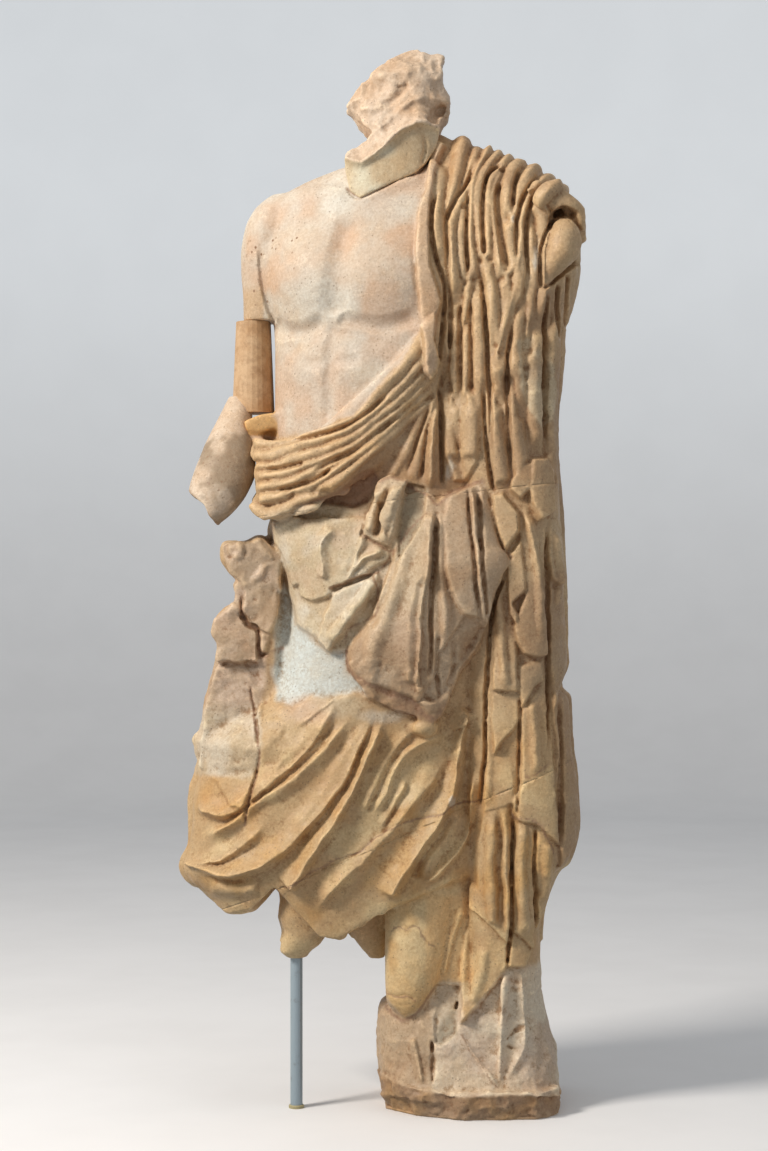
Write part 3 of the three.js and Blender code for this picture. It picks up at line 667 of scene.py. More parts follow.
def shoulder_folds():
    """The cloth over the left shoulder: hanging loops above, straight falls below."""
    loop = {"ends": (0.02, 0.0)}

    def tube(height, points, crest=ROUND, **more):
        return fold(points, 17, 17, height, crest, **more)

    def crease(depth, points):
        return fold(points, 4.5, 4.5, depth)

    return [
        tube(11, [(-53, 1705), (-62, 1670), (-67, 1630), (-67, 1590), (-64, 1555), (-60, 1519)]),
        fold([(-8, 1762), (-21, 1726), (-29, 1674), (-40, 1634), (-48, 1598)], 17, 18, 15, taper=(1.3, 0.5)),
        tube(15, [(14, 1744), (3, 1700), (-9, 1648), (-26, 1617), (-38, 1581), (-40, 1537), (-36, 1497),
                  (-26, 1448)]),
        tube(12, [(-21, 1612), (-25, 1572), (-23, 1528), (-16, 1491), (-9, 1480)], **loop),
        tube(18, [(44, 1758), (28, 1724), (8, 1688), (-1, 1652), (-4, 1608), (-5, 1555), (-4, 1510),
                  (-9, 1481)], **loop),
        tube(15, [(66, 1748), (43, 1716), (17, 1683), (7, 1652), (5, 1608), (8, 1564), (14, 1530),
                  (18, 1521)], **loop),
        tube(16, [(88, 1738), (62, 1706), (39, 1674), (28, 1648), (26, 1599), (26, 1555), (23, 1528),
                  (19, 1521)], **loop),
        tube(14, [(48, 1680), (35, 1639), (35, 1590), (42, 1537), (49, 1499), (55, 1491)], **loop),
        tube(15, [(66, 1591), (68, 1559), (71, 1528), (68, 1503), (57, 1491)], ends=(0.0, 0.0)),
        tube(15, [(108, 1728), (76, 1700), (55, 1661), (59, 1626), (65, 1594)], **loop),
        tube(16, [(146, 1712), (116, 1694), (95, 1661), (82, 1630), (72, 1603), (66, 1592)], **loop),
        tube(16, [(168, 1696), (134, 1672), (107, 1652), (91, 1626), (82, 1590), (79, 1555), (76, 1519),
                  (72, 1484), (65, 1448), (54, 1404), (45, 1369), (42, 1351)], ends=(0.02, 0.12)),
        tube(18, [(190, 1672), (158, 1656), (127, 1637), (113, 1617), (118, 1577), (126, 1555), (117, 1530),
                  (120, 1493), (119, 1448), (126, 1413)], ends=(0.02, 0.12)),
        tube(8, [(99, 1590), (101, 1550), (107, 1519), (105, 1471), (94, 1413), (92, 1360)], SOFT),
        tube(14, [(-26, 1448), (-31, 1413), (-35, 1378), (-34, 1325), (-34, 1271)]),
        tube(14, [(-8, 1479), (-14, 1448), (-25, 1409), (-34, 1375)], ends=(0.0, 0.0)),
        tube(14, [(19, 1519), (24, 1479), (32, 1440), (39, 1395), (42, 1364)], ends=(0.0, 0.1)),
        fold([(57, 1489), (59, 1457), (53, 1413), (45, 1378), (42, 1356), (39, 1307), (39, 1271)], 17, 17, 15,
             ends=(0.0, 0.1)),
        tube(11, [(3, 1466), (1, 1417), (3, 1351), (6, 1271)]),
        tube(10, [(-14, 1395), (-16, 1342), (-16, 1271)]),
        tube(12, [(84, 1430), (78, 1380), (74, 1320), (78, 1250)]),
        tube(11, [(108, 1400), (104, 1340), (106, 1260), (112, 1180)]),
        tube(14, [(150, 1440), (144, 1360), (142, 1240), (140, 1110), (146, 1025)]),
        tube(11, [(170, 1430), (160, 1340), (158, 1230), (160, 1120)]),
        fold([(152, 1597), (134, 1580), (120, 1542), (116, 1505), (119, 1464)], 6, 3, -16, ends=(0.05, 0.05)),
        fold([(140, 1603), (158, 1607), (180, 1597)], 8, 7, -24),
        fold([(120, 1464), (146, 1484), (170, 1506), (190, 1522)], 3, 7, -18, ends=(0.05, 0.05)),
        crease(-12, [(150, 1480), (146, 1420), (148, 1380)]),
        crease(-10, [(168, 1500), (166, 1450), (164, 1400)]),
        tube(10, [(-84, 1290), (-80, 1240), (-77, 1180), (-80, 1112)]),
        tube(10, [(-40, 1290), (-40, 1220), (-38, 1165)]),
        tube(10, [(-10, 1290), (-8, 1220), (-6, 1165)]),
        tube(12, [(30, 1290), (34, 1220), (42, 1160), (50, 1118)]),
        tube(15, [(66, 1300), (70, 1220), (80, 1160), (84, 1100)]),
        fold([(-67, 1643), (-74, 1608), (-75, 1564), (-67, 1519), (-53, 1475), (-54, 1413), (-59, 1351),
              (-56, 1271)], 5, 4, -16),
        crease(-12, [(3, 1703), (-11, 1657), (-33, 1626), (-48, 1594), (-48, 1546), (-47, 1484), (-43, 1440),
              (-43, 1369), (-44, 1271)]),
        crease(-11, [(-8, 1643), (-13, 1590), (-14, 1537), (-10, 1497)]),
        crease(-13, [(50, 1692), (28, 1677), (19, 1648), (15, 1590), (17, 1537), (19, 1528)]),
        fold([(45, 1661), (40, 1626), (45, 1573), (51, 1528), (54, 1503)], 7, 8, -13, taper=(0.7, 1.2)),
        crease(-10, [(81, 1683), (72, 1648), (68, 1612)]),
        crease(-11, [(121, 1674), (97, 1648), (83, 1617), (76, 1586), (74, 1550), (73, 1515)]),
        crease(-10, [(152, 1661), (116, 1643), (98, 1612), (91, 1573), (91, 1528), (95, 1484)]),
        fold([(12, 1502), (16, 1440), (21, 1360), (26, 1271), (28, 1160)], 5, 5, -12),
        fold([(-24, 1440), (-25, 1380), (-25, 1271)], 5, 5, -9),
        fold([(-6, 1440), (-6, 1380), (-5, 1271)], 5, 5, -8),
        fold([(66, 1400), (58, 1330), (58, 1260), (62, 1140)], 5, 5, -13),
        fold([(130, 1470), (124, 1400), (124, 1300), (122, 1180)], 5, 5, -14),
        crease(-12, [(-62, 1300), (-60, 1240), (-58, 1170), (-56, 1118)]),
        fold([(14, 1290), (18, 1220), (26, 1150), (34, 1108)], 5, 5, -13),
    ]


def roll_folds():
    cords = [
        [(-88, 1374), (-131, 1316), (-154, 1293), (-185, 1262), (-221, 1237), (-257, 1222), (-293, 1215),
         (-329, 1210), (-369, 1204), (-398, 1197)],
        [(-84, 1350), (-131, 1293), (-163, 1262), (-194, 1237), (-230, 1215), (-266, 1204), (-302, 1194),
         (-338, 1181), (-369, 1170), (-398, 1177)],
        [(-80, 1328), (-131, 1271), (-176, 1235), (-208, 1208), (-239, 1190), (-266, 1177), (-302, 1170),
         (-329, 1166), (-356, 1157), (-394, 1157)],
        [(-77, 1310), (-131, 1253), (-176, 1219), (-208, 1194), (-239, 1176), (-275, 1165), (-311, 1153),
         (-338, 1143), (-356, 1143), (-392, 1137)],
        [(-163, 1216), (-194, 1198), (-230, 1172), (-257, 1156), (-284, 1145), (-311, 1132), (-335, 1124),
         (-356, 1121), (-390, 1118)],
        [(-74, 1294), (-131, 1238), (-158, 1212), (-185, 1190), (-208, 1172), (-239, 1150), (-266, 1132),
         (-290, 1119), (-322, 1106)],
        [(-72, 1276), (-136, 1221), (-176, 1186), (-199, 1164), (-221, 1146), (-248, 1128), (-279, 1110)],
        [(-266, 1141), (-293, 1124), (-315, 1110), (-340, 1104), (-384, 1100)],
        [(-270, 1106), (-302, 1092), (-329, 1082), (-365, 1070), (-387, 1079), (-395, 1094)],
    ]
    return [fold(c, 14, 14, 11, ends=(0.05, 0.05)) for c in cords] + [
        fold([(-150, 1282), (-200, 1240), (-250, 1213), (-330, 1196)], 5, 5, -9),
        fold([(-130, 1246), (-180, 1208), (-225, 1174), (-290, 1142)], 5, 5, -9),
        fold([(-300, 1160), (-330, 1154), (-370, 1147)], 5, 5, -8),
        fold([(-250, 1150), (-290, 1127), (-350, 1112)], 5, 5, -9),
    ]


def under_roll_folds():
    return [
        fold([(-82, 1272), (-104, 1216), (-132, 1160), (-150, 1132)], 9, 9, 6),
        fold([(-76, 1268), (-94, 1200), (-108, 1126)], 9, 9, 6),
        fold([(-70, 1262), (-78, 1200), (-80, 1112)], 9, 8, 8),
        fold([(-79, 1262), (-99, 1206), (-120, 1140)], 4, 4, -7),
        fold([(-73, 1262), (-86, 1200), (-94, 1130)], 4, 4, -7),
    ]


def skirt_folds():
    """The skirt is pulled across the thigh in thin crests with wide smooth valleys."""
    return [
        fold([(-241, 745), (-264, 727), (-295, 707), (-315, 695)], 16, 10, 6, LIP),
        fold([(-243, 738), (-273, 683), (-308, 637), (-348, 604), (-379, 575), (-406, 550), (-437, 534),
              (-472, 535), (-500, 543)], 34, 14, 16, LIP),
        fold([(-218, 707), (-251, 673), (-286, 634), (-317, 604), (-353, 579), (-384, 557), (-410, 535),
              (-445, 509), (-482, 491)], 14, 26, 15, LIP),
        fold([(-183, 703), (-202, 657), (-228, 604), (-263, 551), (-308, 502), (-361, 454), (-423, 430),
              (-476, 433), (-521, 441)], 40, 14, 22, LIP, ends=(0.1, 0.02)),
        fold([(-370, 520), (-406, 483), (-440, 460), (-479, 444),
              (-517, 438)], 30, 14, 14, LIP, ends=(0.2, 0.02)),
        fold([(-162, 699), (-179, 661), (-202, 608), (-228, 555), (-255, 511), (-290, 462), (-308, 431),
              (-330, 406)], 32, 14, 22, LIP, ends=(0.1, 0.02)),
        fold([(-52, 682), (-87, 666), (-121, 646), (-143, 612), (-157, 577), (-177, 544)], 14, 26, 11, LIP),
        fold([(-118, 599), (-136, 568), (-150, 541), (-164, 516)], 24, 12, 9, LIP),
        fold([(-51, 631), (-87, 581), (-121, 541), (-156, 501), (-200, 455), (-244, 414),
              (-281, 369)], 34, 20, 12, LIP),
        fold([(-9, 724), (-22, 692), (-31, 648), (-42, 581), (-56, 546), (-78, 506), (-113, 458), (-140, 419),
              (-153, 391)], 30, 22, 24, LIP, ends=(0.05, 0.05)),
        fold([(2, 612), (-3, 546), (-13, 500), (-34, 463), (-68, 428), (-92, 417)], 14, 12, 13, LIP),
        fold([(-110, 690), (-150, 640), (-176, 590), (-200, 540)], 22, 14, 8, LIP),
        fold([(-273, 665), (-300, 639), (-326, 617)], 16, 12, 6, LIP),
        fold([(-380, 405), (-420, 400), (-478, 400)], 18, 18, 6, SOFT),
        fold([(-40, 540), (-62, 500), (-96, 450), (-104, 420)], 14, 14, -8, SOFT),
        fold([(-335, 409), (-291, 431), (-247, 452), (-207, 471), (-175, 498), (-140, 520), (-70, 536),
              (-30, 554), (14, 559)], 2.5, 2.5, -3, ends=(0.02, 0.02)),
        fold([(-394, 728), (-391, 692), (-380, 652), (-385, 621), (-390, 603), (-403, 540),
              (-407, 518)], 3, 3, -7, ends=(0.05, 0.1)),
    ]


def hip_folds():
    return [
        fold([(-185, 1059), (-202, 1041), (-198, 1023), (-207, 988), (-222, 960)], 10, 22, 8, LIP),
        fold([(-244, 1043), (-264, 1023), (-269, 1006), (-264, 970), (-269, 957)], 22, 14, 8, LIP),
        fold([(-157, 1006), (-194, 988), (-211, 970), (-222, 955)], 22, 9, 10, LIP),
        fold([(-355, 1042), (-326, 1059), (-300, 1076), (-264, 1085)], 12, 10, 5),
        fold([(-172, 956), (-192, 925), (-226, 880), (-256, 842)], 14, 14, 8),
        fold([(-256, 936), (-244, 940), (-226, 946), (-200, 955), (-176, 962)], 5, 5, -9),
    ]


def hip_panels():
    return [
        ([(-356, 1020), (-335, 988), (-322, 940), (-311, 944), (-308, 922), (-286, 913), (-264, 922),
          (-247, 936), (-200, 956), (-150, 990), (-130, 1100), (-360, 1100)], 2, 8, 8),
        ([(-247, 932), (-206, 948), (-170, 964), (-168, 954), (-190, 915), (-228, 868), (-256, 828),
          (-268, 823), (-280, 838), (-276, 858), (-262, 896)], 6, 10, 6),
    ]


def skirt_panels():
    return [
        ([(-520, 640), (-501, 646), (-477, 626), (-436, 618), (-403, 630), (-385, 656), (-380, 720),
          (-520, 720)], 2, 9, 4),
        ([(-488, 613), (-457, 585), (-430, 550), (-408, 546), (-392, 600), (-399, 618), (-435, 617)], 1, 5, 4),
    ]


def fragment_panels():
    return [
        ([(-412, 934), (-416, 898), (-403, 873), (-384, 862), (-364, 855), (-352, 869), (-340, 934),
          (-345, 1040), (-460, 1040), (-460, 980), (-420, 950)], 4, 10, 4),
        ([(-432, 912), (-480, 898), (-480, 857), (-460, 838), (-458, 803), (-389, 803), (-389, 862),
          (-409, 869), (-416, 898)], 5, 14, 4),
        ([(-389, 858), (-358, 852), (-330, 826), (-380, 818)], 3, 7, 3),
        ([(-380, 812), (-347, 821), (-320, 790), (-330, 740), (-373, 700), (-385, 705), (-384, 725),
          (-372, 748)], 0, 4, 4),
    ]


def fragment_folds():
    return [
        fold([(-335, 796), (-350, 765), (-378, 728), (-384, 704)], 7, 9, 7, LIP),
        fold([(-448, 1018), (-446, 1000), (-436, 990)], 5, 5, -8),
        fold([(-426, 1024), (-422, 1004), (-432, 990)], 8, 9, 6),
        fold([(-396, 1030), (-378, 1006), (-362, 986)], 8, 8, 6),
        fold([(-372, 985), (-384, 965), (-400, 948)], 7, 9, 5),
        fold([(-416, 924), (-417, 898), (-406, 873), (-388, 861), (-385, 812)], 4, 4, -12, ends=(0.1, 0.05)),
        fold([(-384, 815), (-366, 822), (-344, 828)], 4, 4, -16, ends=(0.05, 0.05)),
        fold([(-402, 758), (-396, 729), (-389, 697), (-384, 660)], 3, 3, -9, ends=(0.05, 0.05)),
        fold([(-455, 800), (-420, 797), (-386, 798)], 5, 8, -7, ends=(0.1, 0.1)),
        fold([(-440, 790), (-400, 786), (-380, 760)], 16, 14, -4, SOFT),
    ]


def apron_folds():
    return [
        fold([(-76, 1074), (-79, 1023), (-82, 970), (-92, 918), (-96, 865), (-100, 821),
              (-101, 768)], 46, 9, 17, LIP, ends=(0.05, 0.03)),
        fold([(-90, 940), (-96, 880), (-100, 821), (-101, 762)], 12, 9, 8, ends=(0.3, 0.0)),
        fold([(-69, 1070), (-72, 1001), (-76, 944), (-78, 891), (-78, 839),
              (-80, 782)], 4, 6, -9, ends=(0.1, 0.05)),
        fold([(-123, 1014), (-140, 935), (-171, 865), (-187, 821), (-193, 786)], 22, 26, 6, SOFT),
        fold([(-142, 992), (-150, 959), (-165, 918), (-178, 885)], 8, 14, 7, LIP),
        fold([(-60, 1080), (-62, 1000), (-58, 940), (-52, 900), (-50, 850)], 12, 12, 6, SOFT),
        fold([(-8, 1115), (-2, 1067), (2, 1014), (5, 953), (8, 900), (13, 874)], 6, 6, 12),
        fold([(-12, 1110), (-9, 1060), (-6, 1014), (-3, 950), (0, 900)], 4, 4, -10),
        fold([(6, 1112), (10, 1060), (9, 1000), (12, 930), (15, 880)], 4, 4, -10),
        fold([(-160, 1115), (-176, 1071), (-189, 1032)], 11, 9, 9),
        fold([(-132, 1119), (-147, 1071), (-160, 1018)], 10, 9, 9),
        fold([(-147, 1117), (-162, 1071), (-175, 1026)], 5, 5, -8),
        fold([(-62, 860), (-66, 800), (-60, 740)], 6, 6, -5),
        fold([(-36, 850), (-34, 800), (-44, 760)], 6, 6, -5),
    ]


def apron_panels():
    return [
        ([(-165, 1126), (-149, 1132), (-123, 1124), (-128, 1089), (-136, 1058), (-145, 1010), (-198, 1029),
          (-196, 1049), (-180, 1084)], 12, 12, 6),
        ([(-44, 1104), (-53, 1086), (-54, 1023), (-52, 970), (-43, 935), (-22, 896), (0, 888), (1, 926),
          (-4, 1023), (-14, 1115)], 3, 13, 6),
        ([(8, 1119), (26, 1111), (36, 1054), (44, 1005), (65, 988), (48, 961), (26, 913), (15, 869), (11, 918),
          (7, 988), (14, 1023)], 4, 10, 6),
    ]


def side_folds():
    """The falls of cloth beside the figure's left leg."""
    return [
        fold([(49, 955), (37, 917), (28, 864), (24, 803), (20, 714), (18, 635), (10, 545)], 4, 4, -15,
             ends=(0.05, 0.05)),
        fold([(40, 940), (46, 880), (50, 820), (52, 760)], 9, 9, 6),
        fold([(91, 1072), (104, 1014), (107, 988), (112, 953), (114, 850)], 9, 9, 8),
        fold([(128, 1050), (128, 960), (130, 880), (128, 760), (132, 640)], 4, 4, -11),
        fold([(80, 745), (80, 640), (78, 536)], 3.5, 3.5, -8, ends=(0.05, 0.05)),
        fold([(146, 1040), (148, 960), (148, 900)], 9, 8, 7),
        
        fold([(100, 740), (106, 680), (108, 610)], 12, 12, 6, SOFT),
        fold([(24, 735), (26, 640), (25, 550)], 8, 8, 3),
        fold([(31, 536), (31, 447), (32, 373), (34, 343)], 10, 10, 8),
        fold([(55, 554), (57, 422), (59, 324)], 6, 6, 6),
        fold([(45, 540), (45, 440), (46, 340)], 7, 7, -5),
        fold([(68, 530), (66, 422), (63, 324), (59, 268)], 3.5, 3.5, -16, ends=(0.05, 0.05)),
        fold([(84, 526), (84, 420), (86, 320)], 11, 10, 8),
        fold([(106, 515), (107, 420), (106, 340)], 4, 4, -9),
        fold([(126, 490), (128, 440), (118, 380)], 10, 9, 6),
        fold([(150, 748), (152, 620), (150, 480)], 4.5, 4.5, -10),
        fold([(-20, 369), (-40, 320), (-59, 240)], 8, 9, 5),
        fold([(20, 300), (14, 240), (-6, 190)], 14, 12, 5, SOFT),
        fold([(52, 262), (47, 173), (44, 109), (44, 60)], 5, 26, 9, LIP),
        fold([(84, 262), (88, 200), (90, 156), (84, 110), (60, 72)], 14, 10, 7, LIP),
        fold([(-24, 146), (6, 98), (42, 58)], 12, 3, 4, LIP),
        fold([(57, 133), (74, 147), (92, 158)], 3, 3, -6),
        fold([(58, 125), (82, 114)], 3, 3, -4),
        fold([(-106, 140), (-98, 100), (-92, 60)], 16, 4, 6, LIP),
        fold([(-30, 196), (-32, 188)], 4, 4, -12, ends=(0, 0)),
        fold([(-74, 134), (-73, 100), (-75, 60)], 3.5, 3.5, -10),
    ]


def calf_folds():
    """A joint runs round the shin, with a chipped edge near the foot."""
    return [
        fold([(-146, 322), (-132, 336), (-116, 332), (-104, 338), (-90, 326)], 2, 2, -2, ends=(0.1, 0.1)),
        fold([(-158, 214), (-140, 210), (-120, 214), (-102, 206)], 2, 3, -3),
        fold([(-150, 200), (-128, 196), (-112, 200)], 2, 2, -2),
    ]


def side_panels():
    return [
        ([(32, 1103), (49, 1107), (76, 1072), (78, 1037), (54, 1005), (48, 1023), (36, 1067)], 8, 15, 6),
        ([(58, 992), (81, 1023), (87, 979), (90, 935), (67, 912), (78, 891), (77, 871), (62, 891),
          (57, 953)], 8, 13, 5),
        ([(89, 1076), (111, 979), (123, 891), (127, 820), (107, 818), (85, 825), (72, 847), (69, 871),
          (78, 891), (90, 935), (87, 979), (82, 1032)], 2, 13, 6),
        ([(36, 948), (54, 953), (69, 864), (74, 803), (73, 755), (32, 757), (36, 847)], 2, 11, 5),
        ([(32, 751), (77, 750), (81, 714), (71, 688), (49, 666), (36, 646), (31, 714)], 2, 11, 5),
        ([(78, 800), (120, 811), (119, 776), (103, 763), (83, 727), (76, 758)], 3, 10, 5),
        ([(84, 723), (121, 771), (131, 714), (141, 590), (147, 482), (133, 496), (107, 521), (77, 527),
          (70, 563), (85, 590)], 2, 12, 6),
        ([(98, 1168), (126, 1169), (136, 1145), (136, 1072), (112, 1056), (98, 1089), (93, 1112)], 10, 18, 8),
        ([(69, 1146), (82, 1156), (98, 1159), (98, 1116), (81, 1097), (63, 1112), (62, 1134)], 8, 14, 6),
        ([(34, 640), (66, 640), (72, 560), (64, 557), (18, 540), (24, 620)], 1, 6, 5),
        ([(18, 540), (64, 557), (65, 373), (61, 303), (31, 338), (-6, 367), (-3, 432)], 3, 13, 5),
        ([(77, 526), (104, 517), (105, 353), (102, 293), (83, 318), (68, 329), (68, 422)], 3, 12, 5),
        ([(107, 515), (133, 496), (147, 476), (147, 452), (136, 413), (118, 353), (108, 329)], 4, 10, 5),
        ([(-13, 329), (-6, 367), (31, 338), (61, 303), (59, 269), (38, 234), (8, 190), (-23, 164), (-21, 275)],
         2, 13, 5),
        ([(68, 328), (83, 318), (102, 292), (93, 266), (61, 264), (61, 304)], 3, 10, 5),
        ([(134, 1059), (162, 1056), (162, 947), (139, 944), (131, 961)], 2, 8, 6),
        ([(133, 938), (164, 935), (170, 800), (148, 751), (138, 719), (132, 800)], 2, 8, 6),
        ([(138, 719), (151, 753), (180, 752), (190, 500), (150, 440), (148, 600)], 4, 10, 6),
    ]


def lower_drape_panel():
    return [([(-56, 1300), (-54, 1200), (-52, 1173), (-35, 1129), (-15, 1129), (5, 1160), (5, 1200), (9, 1300)],
             0, 9, 5)]


def body_folds():
    """Muscles and creases of the bare trunk."""
    return [
        fold([(-222, 1600), (-234, 1540), (-246, 1470), (-250, 1420)], 30, 30, -7, SOFT),
        fold([(-250, 1420), (-256, 1330), (-256, 1234)], 18, 18, -5, SOFT),
        fold([(-362, 1424), (-340, 1404), (-300, 1400), (-262, 1418)], 22, 22, -9, SOFT),
        fold([(-96, 1420), (-160, 1402), (-206, 1408), (-246, 1420)], 22, 22, -9, SOFT),
        fold([(-340, 1360), (-308, 1386), (-262, 1396), (-206, 1390), (-150, 1366)], 20, 20, -4, SOFT),
        fold([(-310, 1344), (-256, 1340), (-196, 1344)], 16, 16, -3, SOFT),
        fold([(-222, 1640), (-290, 1650), (-360, 1640)], 24, 24, 5, SOFT),
        fold([(-90, 1680), (-150, 1660), (-210, 1640)], 22, 22, 5, SOFT),
        fold([(-386, 1560), (-382, 1500), (-372, 1455), (-358, 1415)], 6, 6, -7),
        fold(NECK_JOINT, 3, 3, -7, ends=(0.02, 0.02)),
    ]


def plinth_edge(places, across):
    """Height of the ragged upper edge of the plinth."""
    return np.interp(across, *PLINTH_TOP) + 6 * layered_noise(places, 44, seed=24)


def carve(mesh):
    """Raises the folds, flaps and muscles of the display front along the surface's own direction."""
    places = mesh_places(mesh)
    normals = mesh_normals(mesh)
    across, toward, up = places[:, 0].copy(), -places[:, 1], places[:, 2].copy()
    uneven = blend(2.4, 1.3, smoothstep(1080, 1160, up))
    across += uneven * layered_noise(places, 50, seed=3) + 0.35 * uneven * noise(places, 11, seed=4)
    up += uneven * layered_noise(places, 50, seed=9) + 0.35 * uneven * noise(places, 11, seed=10)
    facing = -normals[:, 1]
    front = smoothstep(-0.05, 0.3, facing) * smoothstep(-90, -30, toward)
    shoulder_top = smoothstep(-0.45, 0.0, facing) * smoothstep(1600, 1650, up) * smoothstep(-60, -40, across)
    front = np.maximum(front, shoulder_top * smoothstep(-90, -30, toward))
    wobble = layered_noise(places, 80, seed=21, layers=2)

    def carved(folds, panels):
        return relief(folds, across, up, wobble) + layers(panels, across, up)

    lapel = inside(LAPEL, across, up, 5)
    roll = inside(ROLL, across, up, 8)
    apron = inside(APRON, across, up, 6) * smoothstep(60, 100, toward)
    fragment = inside(HIP_FRAGMENT, across, up, 10) * (1 - apron)
    hip = inside(HIP, across, up, 12) * (1 - apron)
    skirt = inside(SKIRT, across, up, 12) * (1 - apron) * (1 - fragment)
    joint = up - np.interp(across, *FRONT_JOINT)
    fall = smoothstep(-86, -76, across) * smoothstep(-3, 5, joint) * (1 - lapel) * (1 - roll)
    calf = inside(CALF, across, up, 8) * smoothstep(20, 60, toward)
    side = np.maximum(smoothstep(2, 14, across) * smoothstep(150, 170, up), smoothstep(190, 170, up))
    side = np.maximum(side, smoothstep(-80, -60, across) * smoothstep(420, 400, up))
    side = side * smoothstep(5, -3, joint) * (1 - apron) * (1 - calf)

    height = LAPEL_HEIGHT * lapel
    height -= SUNK["red_break"] * inside(RED_BREAK, across, up, 6)
    height -= SUNK["plaster"] * inside(PLASTER, across, up, 12) * (1 - apron)
    height -= SUNK["pitted"] * side * inside(PITTED, across, up, 6)
    ragged = plinth_edge(places, across)
    height += 5 * smoothstep(5, 0, up - ragged) - 10 * smoothstep(3, -3, up - ragged) * smoothstep(60, 0, up)
    stump = inside(STUMP, across, up, 4)
    loops = RELIEF["fall"] * relief(shoulder_folds(), across, up, wobble)
    height += fall * blend(loops, STUMP_HEIGHT, stump)
    height += fall * layers([(SHOULDER_CAP, 10, 16, 5)], across, up)
    height += fall * layers(lower_drape_panel(), across, up)
    height += (RELIEF["roll"] * roll * relief(roll_folds(), across, up, wobble)
               * (1 + 0.5 * layered_noise(places, 60, seed=27)))
    height += relief(under_roll_folds(), across, up, wobble) * inside(BELOW_ROLL, across, up, 8)
    height += RELIEF["skirt"] * skirt * carved(skirt_folds(), skirt_panels())
    height += RELIEF["hip"] * hip * carved(hip_folds(), hip_panels())
    height += fragment * carved(fragment_folds(), fragment_panels())
    height += RELIEF["apron"] * apron * carved(apron_folds(), apron_panels())
    height -= SUNK["grey_patch"] * apron * inside(GREY_PATCH, across, up, 4)
    height -= SUNK["broken_apron"] * inside(BROKEN_APRON, across, up, 6)
    height += RELIEF["side"] * side * carved(side_folds(), side_panels())

    height += calf * relief(calf_folds(), across, up, wobble)
    chest = inside(UPPER_CHEST, across, up, 20) * (1 - roll) * (1 - lapel) * smoothstep(-70, -86, across)
    muscles = swelling(across, up, (-312, 1496), (95, 100), 15)
    muscles += swelling(across, up, (-160, 1496), (105, 100), 15)
    muscles += swelling(across, up, (-215, 1290), (120, 110), 5)
    muscles += swelling(across, up, (-300, 1330), (50, 40), 4) + swelling(across, up, (-205, 1330), (50, 40), 4)
    height += chest * (muscles + relief(body_folds(), across, up, np.zeros(len(up))))
    height *= front

    direction = normals + np.array([0.0, -1.0, 0.0]) * front[:, None]
    direction /= np.linalg.norm(direction, axis=1)[:, None]
    places += direction * height[:, None]

    rear = smoothstep(0.25, -0.15, facing) * (up > 300) * (up < 1700)
    angle = np.arctan2(-(places[:, 1]), places[:, 0] + 170)
    cloth = np.where(places[:, 0] > -100, 1.0, smoothstep(1180, 1120, up))
    plain = REAR_FOLD * np.sin(angle * REAR_FOLD_TURNS + 0.004 * up + 1.5 * wobble)
    plain += REAR_FOLD * np.abs(normals[:, 0]) * np.sin(0.1 * toward + 0.006 * up + 2.5 * wobble)
    places += normals * (rear * cloth * plain)[:, None]
    set_mesh_places(mesh, places)


def weather(mesh):
    """Broken edges, tool marks and weathered skin."""
    places = mesh_places(mesh)
    normals = mesh_normals(mesh)
    across, toward, up = places[:, 0], -places[:, 1], places[:, 2]
    broken = inside(HIP_FRAGMENT, across, up, 30)
    broken = np.maximum(broken, inside(FOOT, across, up, 30))
    broken = np.maximum(broken, 0.45 * inside(HIP, across, up, 20))
    broken = np.maximum(broken, inside(CHIPPED_SKIRT, across, up, 12))
    broken = np.maximum(broken, inside(WHITE_BREAK, across, up, 20) * smoothstep(0, 60, toward))
    broken = np.maximum(broken, 0.6 * inside(RED_BREAK, across, up, 15))
    ragged = plinth_edge(places, across)
    broken = np.maximum(0.8 * broken, 1.6 * smoothstep(4, -2, up - ragged))
    broken = np.maximum(broken, inside(PITTED, across, up, 10))
    broken = np.maximum(broken, inside(UNDER_APRON, across, up, 10) * smoothstep(0, 60, toward))
    broken = np.maximum(broken, 0.8 * inside(BROKEN_APRON, across, up, 10) * smoothstep(0, 60, toward))
    chips = layered_noise(places, 26, seed=31)
    facets = np.abs(noise(places, 40, seed=37)) + 0.5 * np.abs(noise(places, 17, seed=38))
    bare = inside(UPPER_CHEST, across, up, 14) * smoothstep(-74, -88, across)
    skin = (0.9 - 0.6 * bare) * layered_noise(places, 22, seed=41)
    amount = skin + broken * (2.6 * chips - 5.0 * facets + 2.0)
    flat = smoothstep(0.4, 3.0, up)
    places += normals * (amount * flat)[:, None]
    places[:, 2] = np.maximum(places[:, 2], 0.0)
    set_mesh_places(mesh, places)


# ------------------------------------------------------------------------------------------- colour

